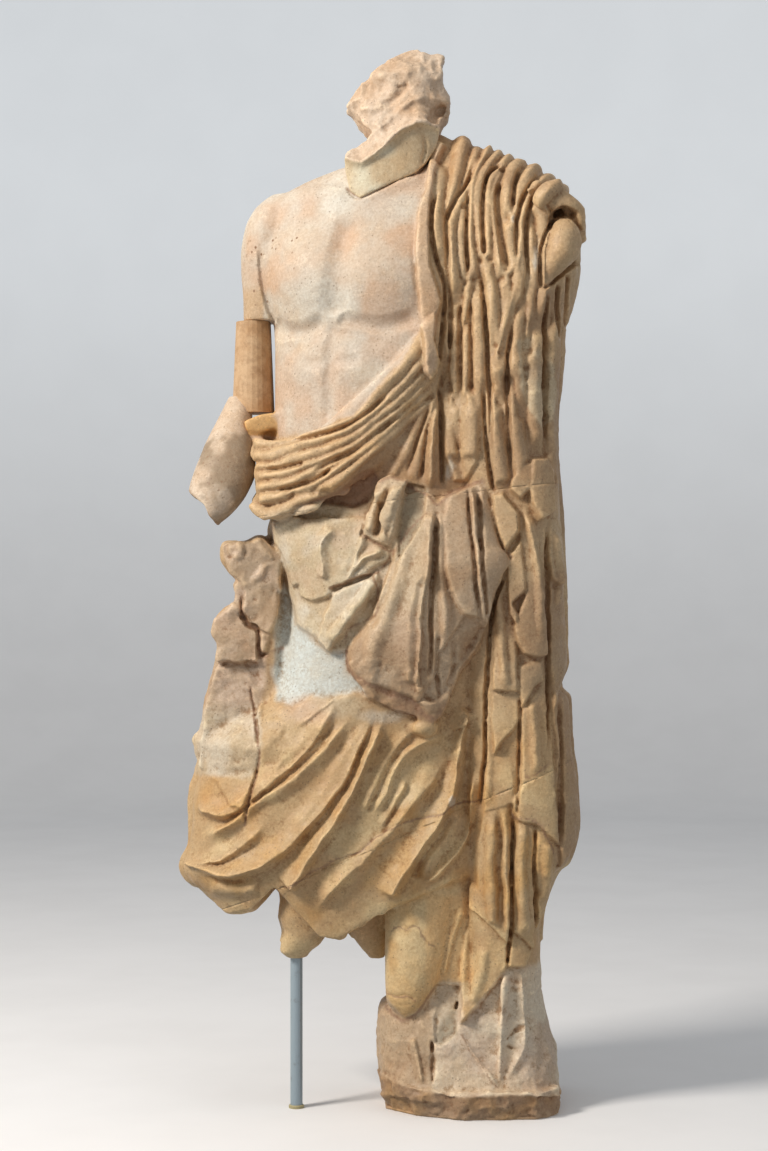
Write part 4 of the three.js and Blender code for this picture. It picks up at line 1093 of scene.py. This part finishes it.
TINTS = {
    "skin": (0.58, 0.49, 0.395),
    "peach": (0.58, 0.41, 0.285),
    "chalk": (0.66, 0.61, 0.52),
    "cloth": (0.53, 0.37, 0.21),
    "brown": (0.37, 0.235, 0.13),
    "honey": (0.54, 0.37, 0.195),
    "amber": (0.56, 0.33, 0.12),
    "pale_hip": (0.58, 0.475, 0.32),
    "plaster": (0.61, 0.64, 0.61),
    "apron": (0.52, 0.38, 0.25),
    "fragment": (0.48, 0.355, 0.24),
    "pink": (0.64, 0.48, 0.37),
    "leg": (0.70, 0.52, 0.28),
    "block": (0.68, 0.565, 0.42),
    "red": (0.30, 0.175, 0.105),
    "gold": (0.80, 0.52, 0.24),
    "grey": (0.33, 0.27, 0.18),
    "arm": (0.52, 0.37, 0.23),
    "head": (0.63, 0.50, 0.38),
    "head_brown": (0.58, 0.43, 0.30),
    "neck": (0.60, 0.47, 0.30),
    "neck_pale": (0.70, 0.64, 0.48),
    "forearm": (0.61, 0.50, 0.39),
    "darker_right": (0.27, 0.20, 0.13),
    "forearm_break": (0.28, 0.17, 0.09),
}
TINTS = {name: np.array(tint) for name, tint in TINTS.items()}


def depth_in_surface(places, normals, edges):
    """From -1 on sharp crests to 1 in tight hollows."""
    fine = averaged(places, edges, 8)
    return np.clip(averaged(1.8 * np.sum((fine - places) * normals, axis=1), edges, 1) / 5.0, -1, 1)


def stone_values(mesh):
    """For each point: the stone's colour, how far it lies in a hollow or out on a crest, how speckled it is,
    and how strongly its hollows take painted shade and dirt.
    """
    places = mesh_places(mesh)
    normals = mesh_normals(mesh)
    edges = mesh_edges(mesh)
    across, toward, up = places[:, 0], -places[:, 1], places[:, 2]
    a = across + 4 * layered_noise(places, 40, seed=51) + 1.5 * noise(places, 9, seed=52)
    u = up + 4 * layered_noise(places, 40, seed=57) + 1.5 * noise(places, 9, seed=58)
    colour = np.tile(TINTS["cloth"], (len(places), 1))
    broad = layered_noise(places, 130, seed=81)
    patchy = layered_noise(places, 60, seed=85)
    front = smoothstep(-20, 40, toward)

    def lay(name, share):
        nonlocal colour
        colour = blend(colour, TINTS[name], np.clip(share, 0, 1)[:, None])

    def spot(name, at, reach, share):
        d = np.hypot((a - at[0]) / reach[0], (u - at[1]) / reach[1])
        lay(name, share * smoothstep(1.0, 0.35, d) * front)

    lay("brown", 0.8 * smoothstep(-0.1, 0.9, broad + 0.5 * patchy))
    lay("honey", smoothstep(820, 640, up))
    lay("amber", 0.6 * smoothstep(760, 600, up) * smoothstep(0.1, 0.8, patchy))
    lay("leg", 0.7 * smoothstep(760, 600, up) * smoothstep(0.0, 0.7, -patchy - 0.5 * broad))
    lay("brown", 0.8 * smoothstep(136, 150, a) * smoothstep(760, 740, u) * smoothstep(430, 450, u))
    chest = inside(UPPER_CHEST, a, u, 14) * smoothstep(-74, -88, across)
    lay("skin", chest)
    lay("chalk", 0.75 * chest * smoothstep(-0.1, 0.8, patchy + 0.4 * broad))
    lay("peach", 0.75 * chest * smoothstep(0.0, 0.9, -patchy - 0.3 * broad))
    roll = inside(ROLL, a, u, 10)
    lay("cloth", roll)
    lay("amber", 0.35 * roll * smoothstep(0.0, 0.8, patchy))
    lay("peach", 0.6 * inside(LAPEL, a, u, 6))
    lay("arm", smoothstep(1500, 1470, up) * smoothstep(-376, -384, across) * smoothstep(1400, 1420, up))
    hip = inside(HIP, a, u, 16)
    lay("pale_hip", hip)
    lay("chalk", 0.5 * hip * smoothstep(0.0, 0.7, patchy))
    lay("peach", 0.4 * hip * smoothstep(0.1, 0.8, -patchy))
    lay("honey", 0.5 * hip * smoothstep(0.0, 0.7, broad - 0.4 * patchy))
    fragment = inside(HIP_FRAGMENT, a, u, 12)
    lay("fragment", fragment)
    lay("pink", 0.5 * fragment * smoothstep(-0.1, 0.7, patchy))
    lay("arm", 0.4 * fragment * smoothstep(0.1, 0.8, -patchy))
    lay("pale_hip", 0.8 * fragment * smoothstep(740, 690, up))
    lay("chalk", 0.5 * fragment * smoothstep(740, 690, up) * smoothstep(-0.4, 0.4, patchy))
    lay("chalk", 0.45 * hip * smoothstep(-250, -300, a) * smoothstep(-0.3, 0.4, broad + 0.5 * patchy))
    lay("plaster", inside(PLASTER, a + 6 * patchy, u + 9 * patchy, 16) * smoothstep(-40, 0, toward))
    spot("peach", (-290, 722), (76, 34), 0.6)
    spot("pale_hip", (-240, 730), (60, 26), 0.6)
    apron = inside(APRON, a, u, 8) * smoothstep(90, 110, toward)
    lay("apron", apron)
    lay("brown", 0.7 * apron * smoothstep(0.0, 0.8, patchy + 0.6 * smoothstep(900, 780, up)))
    lay("pale_hip", 0.5 * apron * smoothstep(-60, -110, a) * smoothstep(800, 960, up))
    spot("peach", (-120, 860), (40, 60), 0.4)
    # Under the apron the stone is laid brown and red: partly the broken stone's own colour, partly painted
    # shade beneath the overhanging hem.
    under = inside(UNDER_APRON, a, u, 6) * (1 - apron) * front
    lay("brown", 0.9 * under)
    lay("red", 0.5 * under * smoothstep(-0.2, 0.5, patchy))
    spot("chalk", (-160, 712), (60, 16), 0.5)
    lay("red", 0.9 * inside(RED_BREAK, a, u, 10))
    lay("grey", 0.8 * inside(GREY_PATCH, a, u, 10))
    calf = inside(CALF, a, u, 10)
    lay("leg", calf)
    lay("amber", 0.6 * calf * smoothstep(0.0, 0.6, patchy))
    lay("amber", 0.5 * calf * smoothstep(250, 190, up))
    foot = inside(FOOT, a, u, 14)
    lay("block", foot)
    lay("pink", 0.5 * foot * smoothstep(-0.2, 0.6, patchy))
    lay("brown", 0.4 * foot * smoothstep(0.2, 0.8, broad + patchy))
    lay("arm", 0.9 * foot * smoothstep(-66, -84, a))
    lay("brown", 0.45 * foot * smoothstep(-66, -84, a) * smoothstep(-0.5, 0.4, patchy))
    lay("grey", 0.7 * inside(PITTED, a, u, 8) * smoothstep(-0.6, 0.1, patchy))
    ragged = plinth_edge(places, a)
    lay("brown", 0.85 * smoothstep(5, -3, up - ragged))
    lay("red", 0.3 * smoothstep(5, -3, up - ragged))
    lay("amber", 0.35 * smoothstep(5, -3, up - ragged) * smoothstep(-0.3, 0.5, patchy))
    lay("amber", 0.9 * inside(STRUT, a, u, 4))
    lay("gold", 0.7 * smoothstep(-90, -80, a) * smoothstep(0, -8, a)
        * smoothstep(400, 380, u) * smoothstep(230, 240, u))
    lay("pale_hip", 0.8 * inside(WHITE_BREAK, a, u, 6) * front * smoothstep(-0.4, 0.3, patchy + 0.3))
    for at, reach in (
        ((-40, 560), (6, 16)), ((66, 1590), (5, 8)), ((107, 1520), (6, 30)), ((-46, 1150), (8, 30)),
    ):
        spot("chalk", at, reach, 0.75)
    # Dark lines: joints and cracks, and painted shadow under three hems.
    for points, width in joints_cracks_and_hem_shadows():
        line = drawn(points)
        near = np.flatnonzero((np.abs(a - line[:, 0].mean()) < 260) & (np.abs(u - line[:, 1].mean()) < 160)
                              & (toward > 0))
        distance = along_line(line, a[near], u[near])[0]
        strength = np.zeros(len(a))
        strength[near] = smoothstep(width, 0.3 * width, distance)
        lay("red", 0.75 * strength)
    wide = averaged(places, edges, 40)
    fine = averaged(places, edges, 6)
    depth = 0.45 * np.sum((wide - places) * normals, axis=1) + 1.9 * np.sum((fine - places) * normals, axis=1)
    hollow = np.clip(averaged(depth, edges, 1) / 6.0, -1.0, 1.0)
    spots = inside([[-420, 1680], [-330, 1690], [-280, 1600], [-340, 1440], [-420, 1480]], across, up, 60)
    # How strongly hollows take painted shade and dirt: less on the bare chest, hip and calf.
    shade_and_dirt = 1.0 - 0.72 * chest - 0.2 * hip - 0.15 * calf
    return np.column_stack([colour, hollow, 0.25 + 0.75 * spots, shade_and_dirt])


def joints_cracks_and_hem_shadows():
    """Thin dark lines on the display front: [points, width]. Most are joints and cracks; the line under the
    apron's lower hem and the two lines under the hems beside the leg are painted shadow.
    """
    return [
        ([(-146, 322), (-132, 336), (-116, 332), (-104, 338), (-90, 326), (-82, 306), (-70, 300)], 1.8),
        ([(-158, 214), (-140, 210), (-120, 214), (-102, 206)], 2.5),
        ([(-164, 185), (-139, 172), (-122, 166), (-96, 190), (-72, 226)], 4.0),
        ([(-335, 409), (-291, 431), (-247, 452), (-207, 471), (-175, 498), (-140, 520), (-70, 536), (-30, 554),
          (14, 559)], 2.2),
        ([(-394, 728), (-391, 692), (-380, 652), (-385, 621), (-390, 603), (-403, 540), (-407, 518)], 3.0),
        ([(-256, 936), (-244, 940), (-226, 946), (-200, 955), (-176, 962), (-150, 990), (-140, 1004)], 4.0),
        ([(-198, 1029), (-172, 1016), (-145, 1004), (-112, 1046), (-84, 1072)], 3.0),
        ([(-165, 1127), (-149, 1133), (-123, 1126), (-104, 1113), (-84, 1105), (-66, 1087), (-50, 1100),
          (-18, 1115), (14, 1126)], 4.5),
        (NECK_JOINT, 3.5),
        ([(-180, 956), (-170, 920), (-178, 890), (-224, 866), (-226, 830), (-222, 795), (-190, 776)], 3.0),
        # Painted shadow under the apron's lower hem.
        ([(-224, 808), (-206, 776), (-190, 770), (-158, 754), (-109, 738), (-94, 722), (-78, 708)], 7.0),
        ([(-416, 924), (-417, 898), (-406, 873), (-388, 861), (-385, 812), (-344, 828)], 4.5),
        ([(-402, 758), (-396, 729), (-389, 697), (-384, 660)], 3.0),
        # These two: painted shadow lines under the hems beside the leg.
        ([(87, 599), (107, 610), (134, 630)], 3.0),
        ([(67, 537), (76, 528), (98, 528), (120, 506), (142, 466)], 3.0),
        ([(-22, 145), (6, 98), (42, 58)], 2.0),
    ]


def store_values(mesh, values):
    """Keeps the columns red, green, blue, hollow, speckle and shade_and_dirt (the weight of the painted shade
    and dirt in hollows) as attributes of the points.
    """
    count = len(mesh.vertices)
    layer = mesh.attributes.new("stone_tint", "FLOAT_COLOR", "POINT")
    layer.data.foreach_set("color", np.column_stack([values[:, :3], np.ones(count)]).astype(np.float32).ravel())
    for name, column in (("hollow", 3), ("speckle", 4), ("shade_and_dirt", 5)):
        layer = mesh.attributes.new(name, "FLOAT", "POINT")
        layer.data.foreach_set("value", values[:, column].astype(np.float32))


# ---------------------------------------------------------------------------------------- materials

class Nodes:
    """A material's node tree, with short calls for the nodes used here."""

    def __init__(self, name):
        self.material = bpy.data.materials.new(name)
        self.material.use_nodes = True
        self.tree = self.material.node_tree
        self.shader = self.tree.nodes["Principled BSDF"]
        self.place = self.tree.nodes.new("ShaderNodeTexCoord").outputs["Object"]

    def link(self, a, b):
        self.tree.links.new(a, b)

    def add(self, kind, **values):
        node = self.tree.nodes.new(kind)
        for key, value in values.items():
            setattr(node, key, value)
        return node

    def noise(self, scale, detail=4.0, roughness=0.6):
        node = self.add("ShaderNodeTexNoise")
        node.inputs["Scale"].default_value = scale
        node.inputs["Detail"].default_value = detail
        node.inputs["Roughness"].default_value = roughness
        self.link(self.place, node.inputs["Vector"])
        return node.outputs["Fac"]

    def cells(self, scale):
        node = self.add("ShaderNodeTexVoronoi")
        node.inputs["Scale"].default_value = scale
        self.link(self.place, node.inputs["Vector"])
        return node.outputs["Distance"]

    def ramp(self, value, low, high, out_low=0.0, out_high=1.0):
        node = self.add("ShaderNodeMapRange", interpolation_type="SMOOTHSTEP")
        for name, number in (("From Min", low), ("From Max", high), ("To Min", out_low), ("To Max", out_high)):
            node.inputs[name].default_value = number
        self.link(value, node.inputs["Value"])
        return node.outputs["Result"]

    def math(self, operation, a, b):
        node = self.add("ShaderNodeMath", operation=operation)
        for slot, value in ((0, a), (1, b)):
            if isinstance(value, (int, float)):
                node.inputs[slot].default_value = value
            else:
                self.link(value, node.inputs[slot])
        return node.outputs["Value"]

    def mix(self, share, a, b, blend_type="MIX"):
        node = self.add("ShaderNodeMix", data_type="RGBA", blend_type=blend_type)
        for slot, value in ((0, share), (6, a), (7, b)):
            if isinstance(value, (int, float)):
                node.inputs[slot].default_value = value
            elif isinstance(value, tuple):
                node.inputs[slot].default_value = (*value, 1.0)
            else:
                self.link(value, node.inputs[slot])
        return node.outputs[2]

    def attribute(self, name, output):
        node = self.add("ShaderNodeAttribute", attribute_name=name)
        return node.outputs[output]

    def bump(self, height, strength, distance, under=None):
        node = self.add("ShaderNodeBump")
        node.inputs["Strength"].default_value = strength
        node.inputs["Distance"].default_value = distance
        self.link(height, node.inputs["Height"])
        if under is not None:
            self.link(under, node.inputs["Normal"])
        return node.outputs["Normal"]


def marble_material(name):
    """Old marble: mottled, with brown dirt and painted shade in the hollows, crests lightened by wear and
    painted highlight, pits and specks.
    """
    n = Nodes(name)
    tinted = n.attribute("stone_tint", "Color")
    hollow = n.attribute("hollow", "Fac")
    shade_and_dirt = n.attribute("shade_and_dirt", "Fac")
    broad = n.ramp(n.noise(9.0, 6.0, 0.65), 0.36, 0.66)
    middle = n.ramp(n.noise(38.0, 7.0, 0.7), 0.36, 0.64)
    fine = n.ramp(n.noise(190.0, 5.0, 0.75), 0.36, 0.64)

    def shaded(tone):
        return n.mix(1.0, tinted, tone, "MULTIPLY")

    colour = n.mix(n.math("MULTIPLY", broad, 0.60), tinted, shaded((0.95, 0.72, 0.50)))
    colour = n.mix(n.math("MULTIPLY", middle, 0.55), colour, shaded((1.24, 1.27, 1.28)))
    colour = n.mix(n.math("MULTIPLY", fine, 0.36), colour, shaded((0.66, 0.54, 0.42)))
    uneven = n.math("ADD", hollow, n.math("MULTIPLY", n.math("SUBTRACT", middle, 0.5), 0.40))
    uneven = n.math("ADD", uneven, n.math("MULTIPLY", n.math("SUBTRACT", fine, 0.5), 0.20))
    # Hollows turn browner: partly dirt, partly painted shade where occlusion would fall.
    deep_shade_and_dirt = n.math("MULTIPLY", n.ramp(uneven, 0.02, 0.62), n.math("MULTIPLY", shade_and_dirt, 0.88))
    colour = n.mix(deep_shade_and_dirt, colour, shaded((0.48, 0.32, 0.19)))
    # Tight crevices go nearly black: dirt and painted shade.
    crevice_shade_and_dirt = n.math("MULTIPLY", n.ramp(uneven, 0.55, 1.05), n.math("MULTIPLY", shade_and_dirt, 0.80))
    colour = n.mix(crevice_shade_and_dirt, colour, (0.050, 0.028, 0.014))
    # Crests lighten: partly wear, partly painted highlight.
    worn_and_highlit = n.ramp(uneven, -0.10, -0.50)
    colour = n.mix(n.math("MULTIPLY", worn_and_highlit, 0.75), colour, shaded((1.38, 1.34, 1.24)))
    specks = n.ramp(n.cells(120.0), 0.22, 0.10)
    specks = n.math("MULTIPLY", specks, n.ramp(n.noise(20.0, 5.0, 0.65), 0.46, 0.56))
    colour = n.mix(n.math("MULTIPLY", specks, 0.55), colour, (0.16, 0.09, 0.045))
    spots = n.math("MULTIPLY", n.ramp(n.cells(75.0), 0.24, 0.12), n.ramp(n.noise(14.0, 4.0, 0.6), 0.50, 0.60))
    colour = n.mix(n.math("MULTIPLY", spots, n.attribute("speckle", "Fac")), colour, (0.22, 0.11, 0.05))
    n.link(colour, n.shader.inputs["Base Color"])
    n.link(n.ramp(middle, 0.0, 1.0, 0.50, 0.74), n.shader.inputs["Roughness"])
    pits = n.ramp(n.cells(150.0), 0.0, 0.30)
    grain = n.bump(n.noise(260.0, 6.0, 0.7), 0.3, 0.002)
    dents = n.bump(n.noise(45.0, 6.0, 0.6), 0.5, 0.004, grain)
    n.link(n.bump(pits, 0.25, 0.0015, dents), n.shader.inputs["Normal"])
    return n.material


def infill_material():
    """Matt ochre cast, a little mottled."""
    n = Nodes("ochre_infill")
    broad = n.ramp(n.noise(14.0, 6.0, 0.65), 0.35, 0.65)
    fine = n.ramp(n.noise(70.0, 6.0, 0.75), 0.42, 0.66)
    colour = n.mix(broad, (0.46, 0.26, 0.12), (0.60, 0.40, 0.23))
    colour = n.mix(n.math("MULTIPLY", fine, 0.45), colour, (0.27, 0.14, 0.06))
    n.link(colour, n.shader.inputs["Base Color"])
    n.shader.inputs["Roughness"].default_value = 0.8
    n.link(n.bump(n.noise(90.0, 5.0, 0.7), 0.35, 0.002), n.shader.inputs["Normal"])
    return n.material


def rod_material():
    """Grey paint, darker with wear in places."""
    n = Nodes("painted_rod")
    wear = n.ramp(n.noise(60.0, 5.0, 0.7), 0.55, 0.75)
    colour = n.mix(wear, (0.34, 0.41, 0.45), (0.26, 0.29, 0.31))
    n.link(colour, n.shader.inputs["Base Color"])
    n.link(n.ramp(n.noise(200.0, 3.0), 0.3, 0.7, 0.35, 0.5), n.shader.inputs["Roughness"])
    n.shader.inputs["Metallic"].default_value = 0.2
    n.link(n.bump(n.noise(260.0, 3.0), 0.08, 0.001), n.shader.inputs["Normal"])
    return n.material


def collar_material():
    n = Nodes("collar")
    colour = (0.45, 0.38, 0.20)
    fine = n.ramp(n.noise(3.0, 3.0), 0.3, 0.7)
    lighter = tuple(min(1.0, c * 1.04) for c in colour)
    n.link(n.mix(fine, colour, lighter), n.shader.inputs["Base Color"])
    n.shader.inputs["Roughness"].default_value = 0.5
    return n.material


def sweep_material():
    """A pale sweep that glows a little more the higher it stands, like a wall in daylight."""
    n = Nodes("pale_plaster")
    height = n.add("ShaderNodeSeparateXYZ")
    n.link(n.place, height.inputs["Vector"])
    grain = n.ramp(n.noise(3.0, 3.0), 0.3, 0.7)
    n.link(n.mix(grain, (0.90, 0.88, 0.87), (0.93, 0.91, 0.90)), n.shader.inputs["Base Color"])
    n.shader.inputs["Roughness"].default_value = 0.9
    n.shader.inputs["Emission Color"].default_value = (0.84, 0.93, 1.0, 1.0)
    n.link(n.ramp(height.outputs["Z"], 0.0, 3.0, 0.0, WALL_GLOW), n.shader.inputs["Emission Strength"])
    return n.material


# ------------------------------------------------------------------------------------------- pieces

def finish_piece(mesh, name, node, material):
    """Turns a carved mesh to the frame and makes it the piece that stands for a node."""
    mesh.transform(Matrix.Rotation(CHEST_TURN, 4, "Z"))
    mesh.polygons.foreach_set("use_smooth", [True] * len(mesh.polygons))
    mesh.materials.clear()
    mesh.materials.append(material)
    mesh.name = name
    piece = new_object(name, mesh)
    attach(piece, "root")
    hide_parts(node)


def part_beyond(mesh, point, normal, keep_upper):
    """What lies above or below an old break, closed there. The break is a plane on the display front."""
    bm = bmesh.new()
    bm.from_mesh(mesh)
    geometry = bm.verts[:] + bm.edges[:] + bm.faces[:]
    made = bmesh.ops.bisect_plane(
        bm, geom=geometry, dist=1e-6, plane_co=Vector((point[0], 0, point[1])) * MM,
        plane_no=Vector((normal[0], 0, normal[1])), clear_inner=keep_upper, clear_outer=not keep_upper,
    )
    rim = [e for e in made["geom_cut"] if isinstance(e, bmesh.types.BMEdge)]
    bmesh.ops.edgenet_fill(bm, edges=rim)
    for edge in rim:
        edge.smooth = False
    return mesh_from(bm, "part")


def values_of_nearest(mesh, fine_places, values):
    """For each point of a thinned mesh, the values of the nearest point of the full one."""
    tree = KDTree(len(fine_places))
    for i, place in enumerate(fine_places):
        tree.insert(place, i)
    tree.balance()
    nearest = np.array([tree.find(place)[1] for place in mesh_places(mesh)])
    return values[nearest]


def make_figure(material):
    """The draped figure, in three pieces that meet along the old breaks."""
    mesh = remeshed(joined(figure_bodies()), UNION_VOXEL)
    smoothed(mesh, 2)
    mesh = with_modifier(mesh, "SUBSURF", levels=1, render_levels=1)
    carve(mesh)
    mesh = remeshed(mesh, CARVING_VOXEL)
    smoothed(mesh, 1, share=0.3)
    weather(mesh)
    values = stone_values(mesh)
    fine_places = mesh_places(mesh)
    parts = (
        ("marble_figure_upper", [(WAIST_BREAK, True)]),
        ("marble_figure_middle", [(WAIST_BREAK, False), (KNEE_BREAK, True)]),
        ("marble_figure_lower", [(KNEE_BREAK, False)]),
    )
    for name, cuts in parts:
        part = mesh
        for (point, normal), keep_upper in cuts:
            part = part_beyond(part, point, normal, keep_upper)
        part = thinned(part, MOST_TRIANGLES)
        store_values(part, values_of_nearest(part, fine_places, values))
        finish_piece(part, name, "marble_figure", material)


def make_head(material):
    """The neck's smooth front, a slanting break above it and the shapeless rest of the head."""
    mesh = slab([
        [-203, 1636], [-221, 1650], [-229, 1686], [-231, 1708], [-222, 1722], [-189, 1744], [-180, 1755],
        [-194, 1769], [-206, 1786], [-214, 1798], [-227, 1809], [-218, 1831], [-204, 1846], [-189, 1856],
        [-167, 1881], [-138, 1903], [-109, 1918], [-98, 1916], [-92, 1908], [-77, 1908], [-61, 1908],
        [-52, 1900], [-57, 1881], [-55, 1852], [-41, 1828], [-44, 1795], [-56, 1778], [-60, 1760], [-66, 1730],
        [-84, 1700], [-104, 1680], [-150, 1660],
    ], -74, 104)
    mesh = remeshed(mesh, CARVING_VOXEL)
    places = mesh_places(mesh)
    across, toward, up = places[:, 0].copy(), -places[:, 1], places[:, 2].copy()
    across += 2 * layered_noise(places, 26, seed=66)
    over = up - np.interp(across, *BREAK_LINE) + 1.2 * layered_noise(places, 12, seed=67)
    middle = blend(-150, -120, smoothstep(1700, 1860, up))
    crown = 1.0 - np.clip(np.abs(across - middle) / 92, 0, 1) ** 2.4
    depth = blend(58, 88, crown)
    slope = np.clip(over, 0, 200)
    depth -= np.minimum(slope, 36) * 0.75 + np.maximum(slope - 36, 0) * 0.10
    depth += 7 * smoothstep(-8, 0, over) * smoothstep(9, 2, over)
    depth -= 5 * smoothstep(-2, -16, over)
    depth = blend(depth, 10, smoothstep(1860, 1925, up))
    planes = [
        fold([(-176, 1756), (-150, 1776), (-118, 1806), (-80, 1822)], 16, 22, 9, LIP),
        fold([(-160, 1800), (-136, 1820), (-112, 1846)], 8, 10, -6),
        fold([(-210, 1806), (-180, 1800), (-150, 1806)], 16, 14, 7, LIP),
        fold([(-190, 1850), (-150, 1862), (-100, 1866)], 14, 18, 5, LIP),
        fold([(-76, 1900), (-72, 1870), (-60, 1850)], 12, 12, 6, LIP),
        fold([(-74, 1776), (-68, 1790), (-56, 1800)], 10, 10, -16, ends=(0, 0)),
        fold([(-92, 1700), (-86, 1720), (-88, 1744)], 3, 3, -10, ends=(0, 0)),
        fold([(-150, 1674), (-148, 1700), (-151, 1722)], 1.5, 1.5, -1.5),
    ]
    depth += relief(planes, across, up, np.zeros(len(up)))
    for at, reach, hole in (((-133, 1838), (6, 4), 9), ((-160, 1807), (5, 4), 6)):
        depth -= swelling(across, up, at, reach, hole)
    rear = 74 - 30 * smoothstep(1790, 1924, up) - 8 * np.abs(noise(places, 50, seed=69))
    rear *= np.sqrt(blend(0.35, 1.0, crown))
    places[:, 1] = np.clip(places[:, 1], -depth, rear)
    set_mesh_places(mesh, places)
    mesh = remeshed(mesh, CARVING_VOXEL)
    smoothed(mesh, 4)
    places, normals = mesh_places(mesh), mesh_normals(mesh)
    rough = smoothstep(-2, 6, places[:, 2] - np.interp(places[:, 0], *BREAK_LINE))
    rough = np.maximum(rough, smoothstep(20, -20, -places[:, 1]))
    facets = np.abs(noise(places, 36, seed=61)) + 0.5 * np.abs(noise(places, 16, seed=62))
    places += normals * (rough * (3 - 6 * facets + 1.2 * layered_noise(places, 12, seed=63)))[:, None]
    places[:, 2] = np.minimum(places[:, 2], HEAD_TOP)
    set_mesh_places(mesh, places)
    places, edges = mesh_places(mesh), mesh_edges(mesh)
    normals = mesh_normals(mesh)
    hollow = depth_in_surface(places, normals, edges)
    up = places[:, 2]
    smooth_neck = smoothstep(1, -4, up - np.interp(places[:, 0], *BREAK_LINE))
    smooth_neck *= smoothstep(20, 60, -places[:, 1])
    patches = smoothstep(-0.3, 0.5, noise(places, 40, seed=68))
    colour = blend(TINTS["head"], TINTS["head_brown"], patches[:, None])
    neck = blend(TINTS["neck"], TINTS["neck_pale"], patches[:, None])
    colour = blend(colour, neck, smooth_neck[:, None])
    store_values(mesh, np.column_stack([colour, hollow, np.full(len(up), 0.3), 0.5 - 0.2 * smooth_neck]))
    finish_piece(mesh, "neck_and_head_carved", "neck_and_head_stump", material)


def make_forearm(material):
    """The fragment of elbow and forearm, broken off slantwise above the wrist."""
    mesh = body([
        [1020, -546, -500, 0, 70], [1052, -534, -459, -4, 74], [1074, -526, -433, -12, 76],
        [1111, -514, -406, -24, 76], [1150, -504, -393, -42, 66], [1200, -486, -395, -66, 40],
        [1236, -471, -402, -86, 14], [1262, -458, -402, -94, -6], [1290, -446, -412, -86, -34],
    ], squareness=2.2, row=6)
    beyond_break = slab([
        [-600, 1180], [-530, 1132], [-513, 1113], [-500, 1101], [-482, 1087], [-474, 1069], [-459, 1051],
        [-440, 1026], [-440, 960], [-600, 960],
    ], -200, 200)
    mesh = cut_away(mesh, beyond_break)
    mesh = remeshed(mesh, FOREARM_VOXEL)
    places, normals = mesh_places(mesh), mesh_normals(mesh)
    broken = smoothstep(7, 0, (places[:, 2] - 1111) * 0.66 + (places[:, 0] + 512) * 0.75)
    chips = 1.5 * layered_noise(places, 22, seed=72) - 2 * np.abs(noise(places, 30, seed=73))
    places += normals * (0.7 * layered_noise(places, 24, seed=71) + broken * chips)[:, None]
    set_mesh_places(mesh, places)
    edges, normals = mesh_edges(mesh), mesh_normals(mesh)
    hollow = depth_in_surface(places, normals, edges)
    # Darker towards the right, the side that faces the trunk, and in noisy patches.
    right = smoothstep(-480, -430, places[:, 0] + 0.3 * (1111 - places[:, 2]))
    darker_right = smoothstep(-0.2, 0.6, layered_noise(places, 44, seed=74) + 1.1 * right - 0.30)
    colour = blend(TINTS["forearm"], TINTS["darker_right"], 0.85 * darker_right[:, None])
    colour = blend(colour, TINTS["forearm_break"], (0.8 * broken)[:, None])
    count = len(places)
    store_values(mesh, np.column_stack([colour, hollow, np.full(count, 0.5), np.full(count, 0.4)]))
    finish_piece(mesh, "right_forearm_carved", "right_forearm", material)


def dress_node(name, material):
    """Gives a CAD node that stays in sight its material."""
    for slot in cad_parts[name].material_slots:
        slot.material = material


# ------------------------------------------------------------------------------------------- studio

def display_place(across, toward, up):
    """A place in front of the figure, in the frame."""
    return Matrix.Rotation(CHEST_TURN, 4, "Z") @ (Vector((across, -toward, up)) * MM)


def make_studio():
    """A pale floor that sweeps up into a wall all round, three lamps, daylight and the visitor's eye."""
    bm = bmesh.new()
    arc = [(0.0, 0.0), (FLOOR_REACH, 0.0)]
    for turn in np.radians(np.arange(6, 91, 6)):
        out, rise = SWEEP_RADIUS * math.sin(turn), SWEEP_RADIUS * math.cos(turn)
        arc.append((FLOOR_REACH + out, SWEEP_RADIUS - rise))
    arc.append((FLOOR_REACH + SWEEP_RADIUS, WALL_TOP))
    verts = [bm.verts.new((x, 0.0, z)) for x, z in arc]
    edges = [bm.edges.new(pair) for pair in zip(verts, verts[1:])]
    bmesh.ops.spin(
        bm, geom=verts + edges, cent=(0, 0, 0), axis=(0, 0, 1), angle=2 * math.pi, steps=96, use_merge=True
    )
    bmesh.ops.remove_doubles(bm, verts=bm.verts, dist=1e-4)
    bmesh.ops.recalc_face_normals(bm, faces=bm.faces)
    mesh = mesh_from(bm, "pale_sweep")
    mesh.polygons.foreach_set("use_smooth", [True] * len(mesh.polygons))
    mesh.materials.append(sweep_material())
    sweep = new_object("pale_sweep", mesh)
    sweep.visible_diffuse = False
    sweep.visible_shadow = False

    for name, place, power, size, colour in LAMPS:
        data = bpy.data.lights.new(name, "AREA")
        data.energy = power
        data.size = size
        data.color = colour
        light = new_object(name, data)
        light.location = display_place(*place)
        aim = display_place(*AIM) - light.location
        light.rotation_euler = aim.to_track_quat("-Z", "Y").to_euler()

    world = bpy.data.worlds.new("studio")
    bpy.context.scene.world = world
    world.use_nodes = True
    bpy.context.scene.view_settings.view_transform = "Standard"
    background = world.node_tree.nodes["Background"]
    background.inputs["Color"].default_value = (0.90, 0.95, 1.0, 1.0)
    background.inputs["Strength"].default_value = DAYLIGHT

    camera = bpy.data.cameras.new("visitor")
    camera.sensor_fit = "VERTICAL"
    camera.sensor_height = 36.0
    camera.lens = LENS
    camera.clip_end = 60.0
    eye = new_object("visitor", camera)
    eye.location = display_place(*VISITOR)
    eye.rotation_euler = (math.pi / 2, 0.0, CHEST_TURN)
    bpy.context.scene.camera = eye


make_figure(marble_material("marble"))
make_head(marble_material("marble_head"))
make_forearm(marble_material("marble_forearm"))
dress_node("right_arm_infill", infill_material())
dress_node("support_rod", rod_material())
dress_node("rod_foot", collar_material())
make_studio()
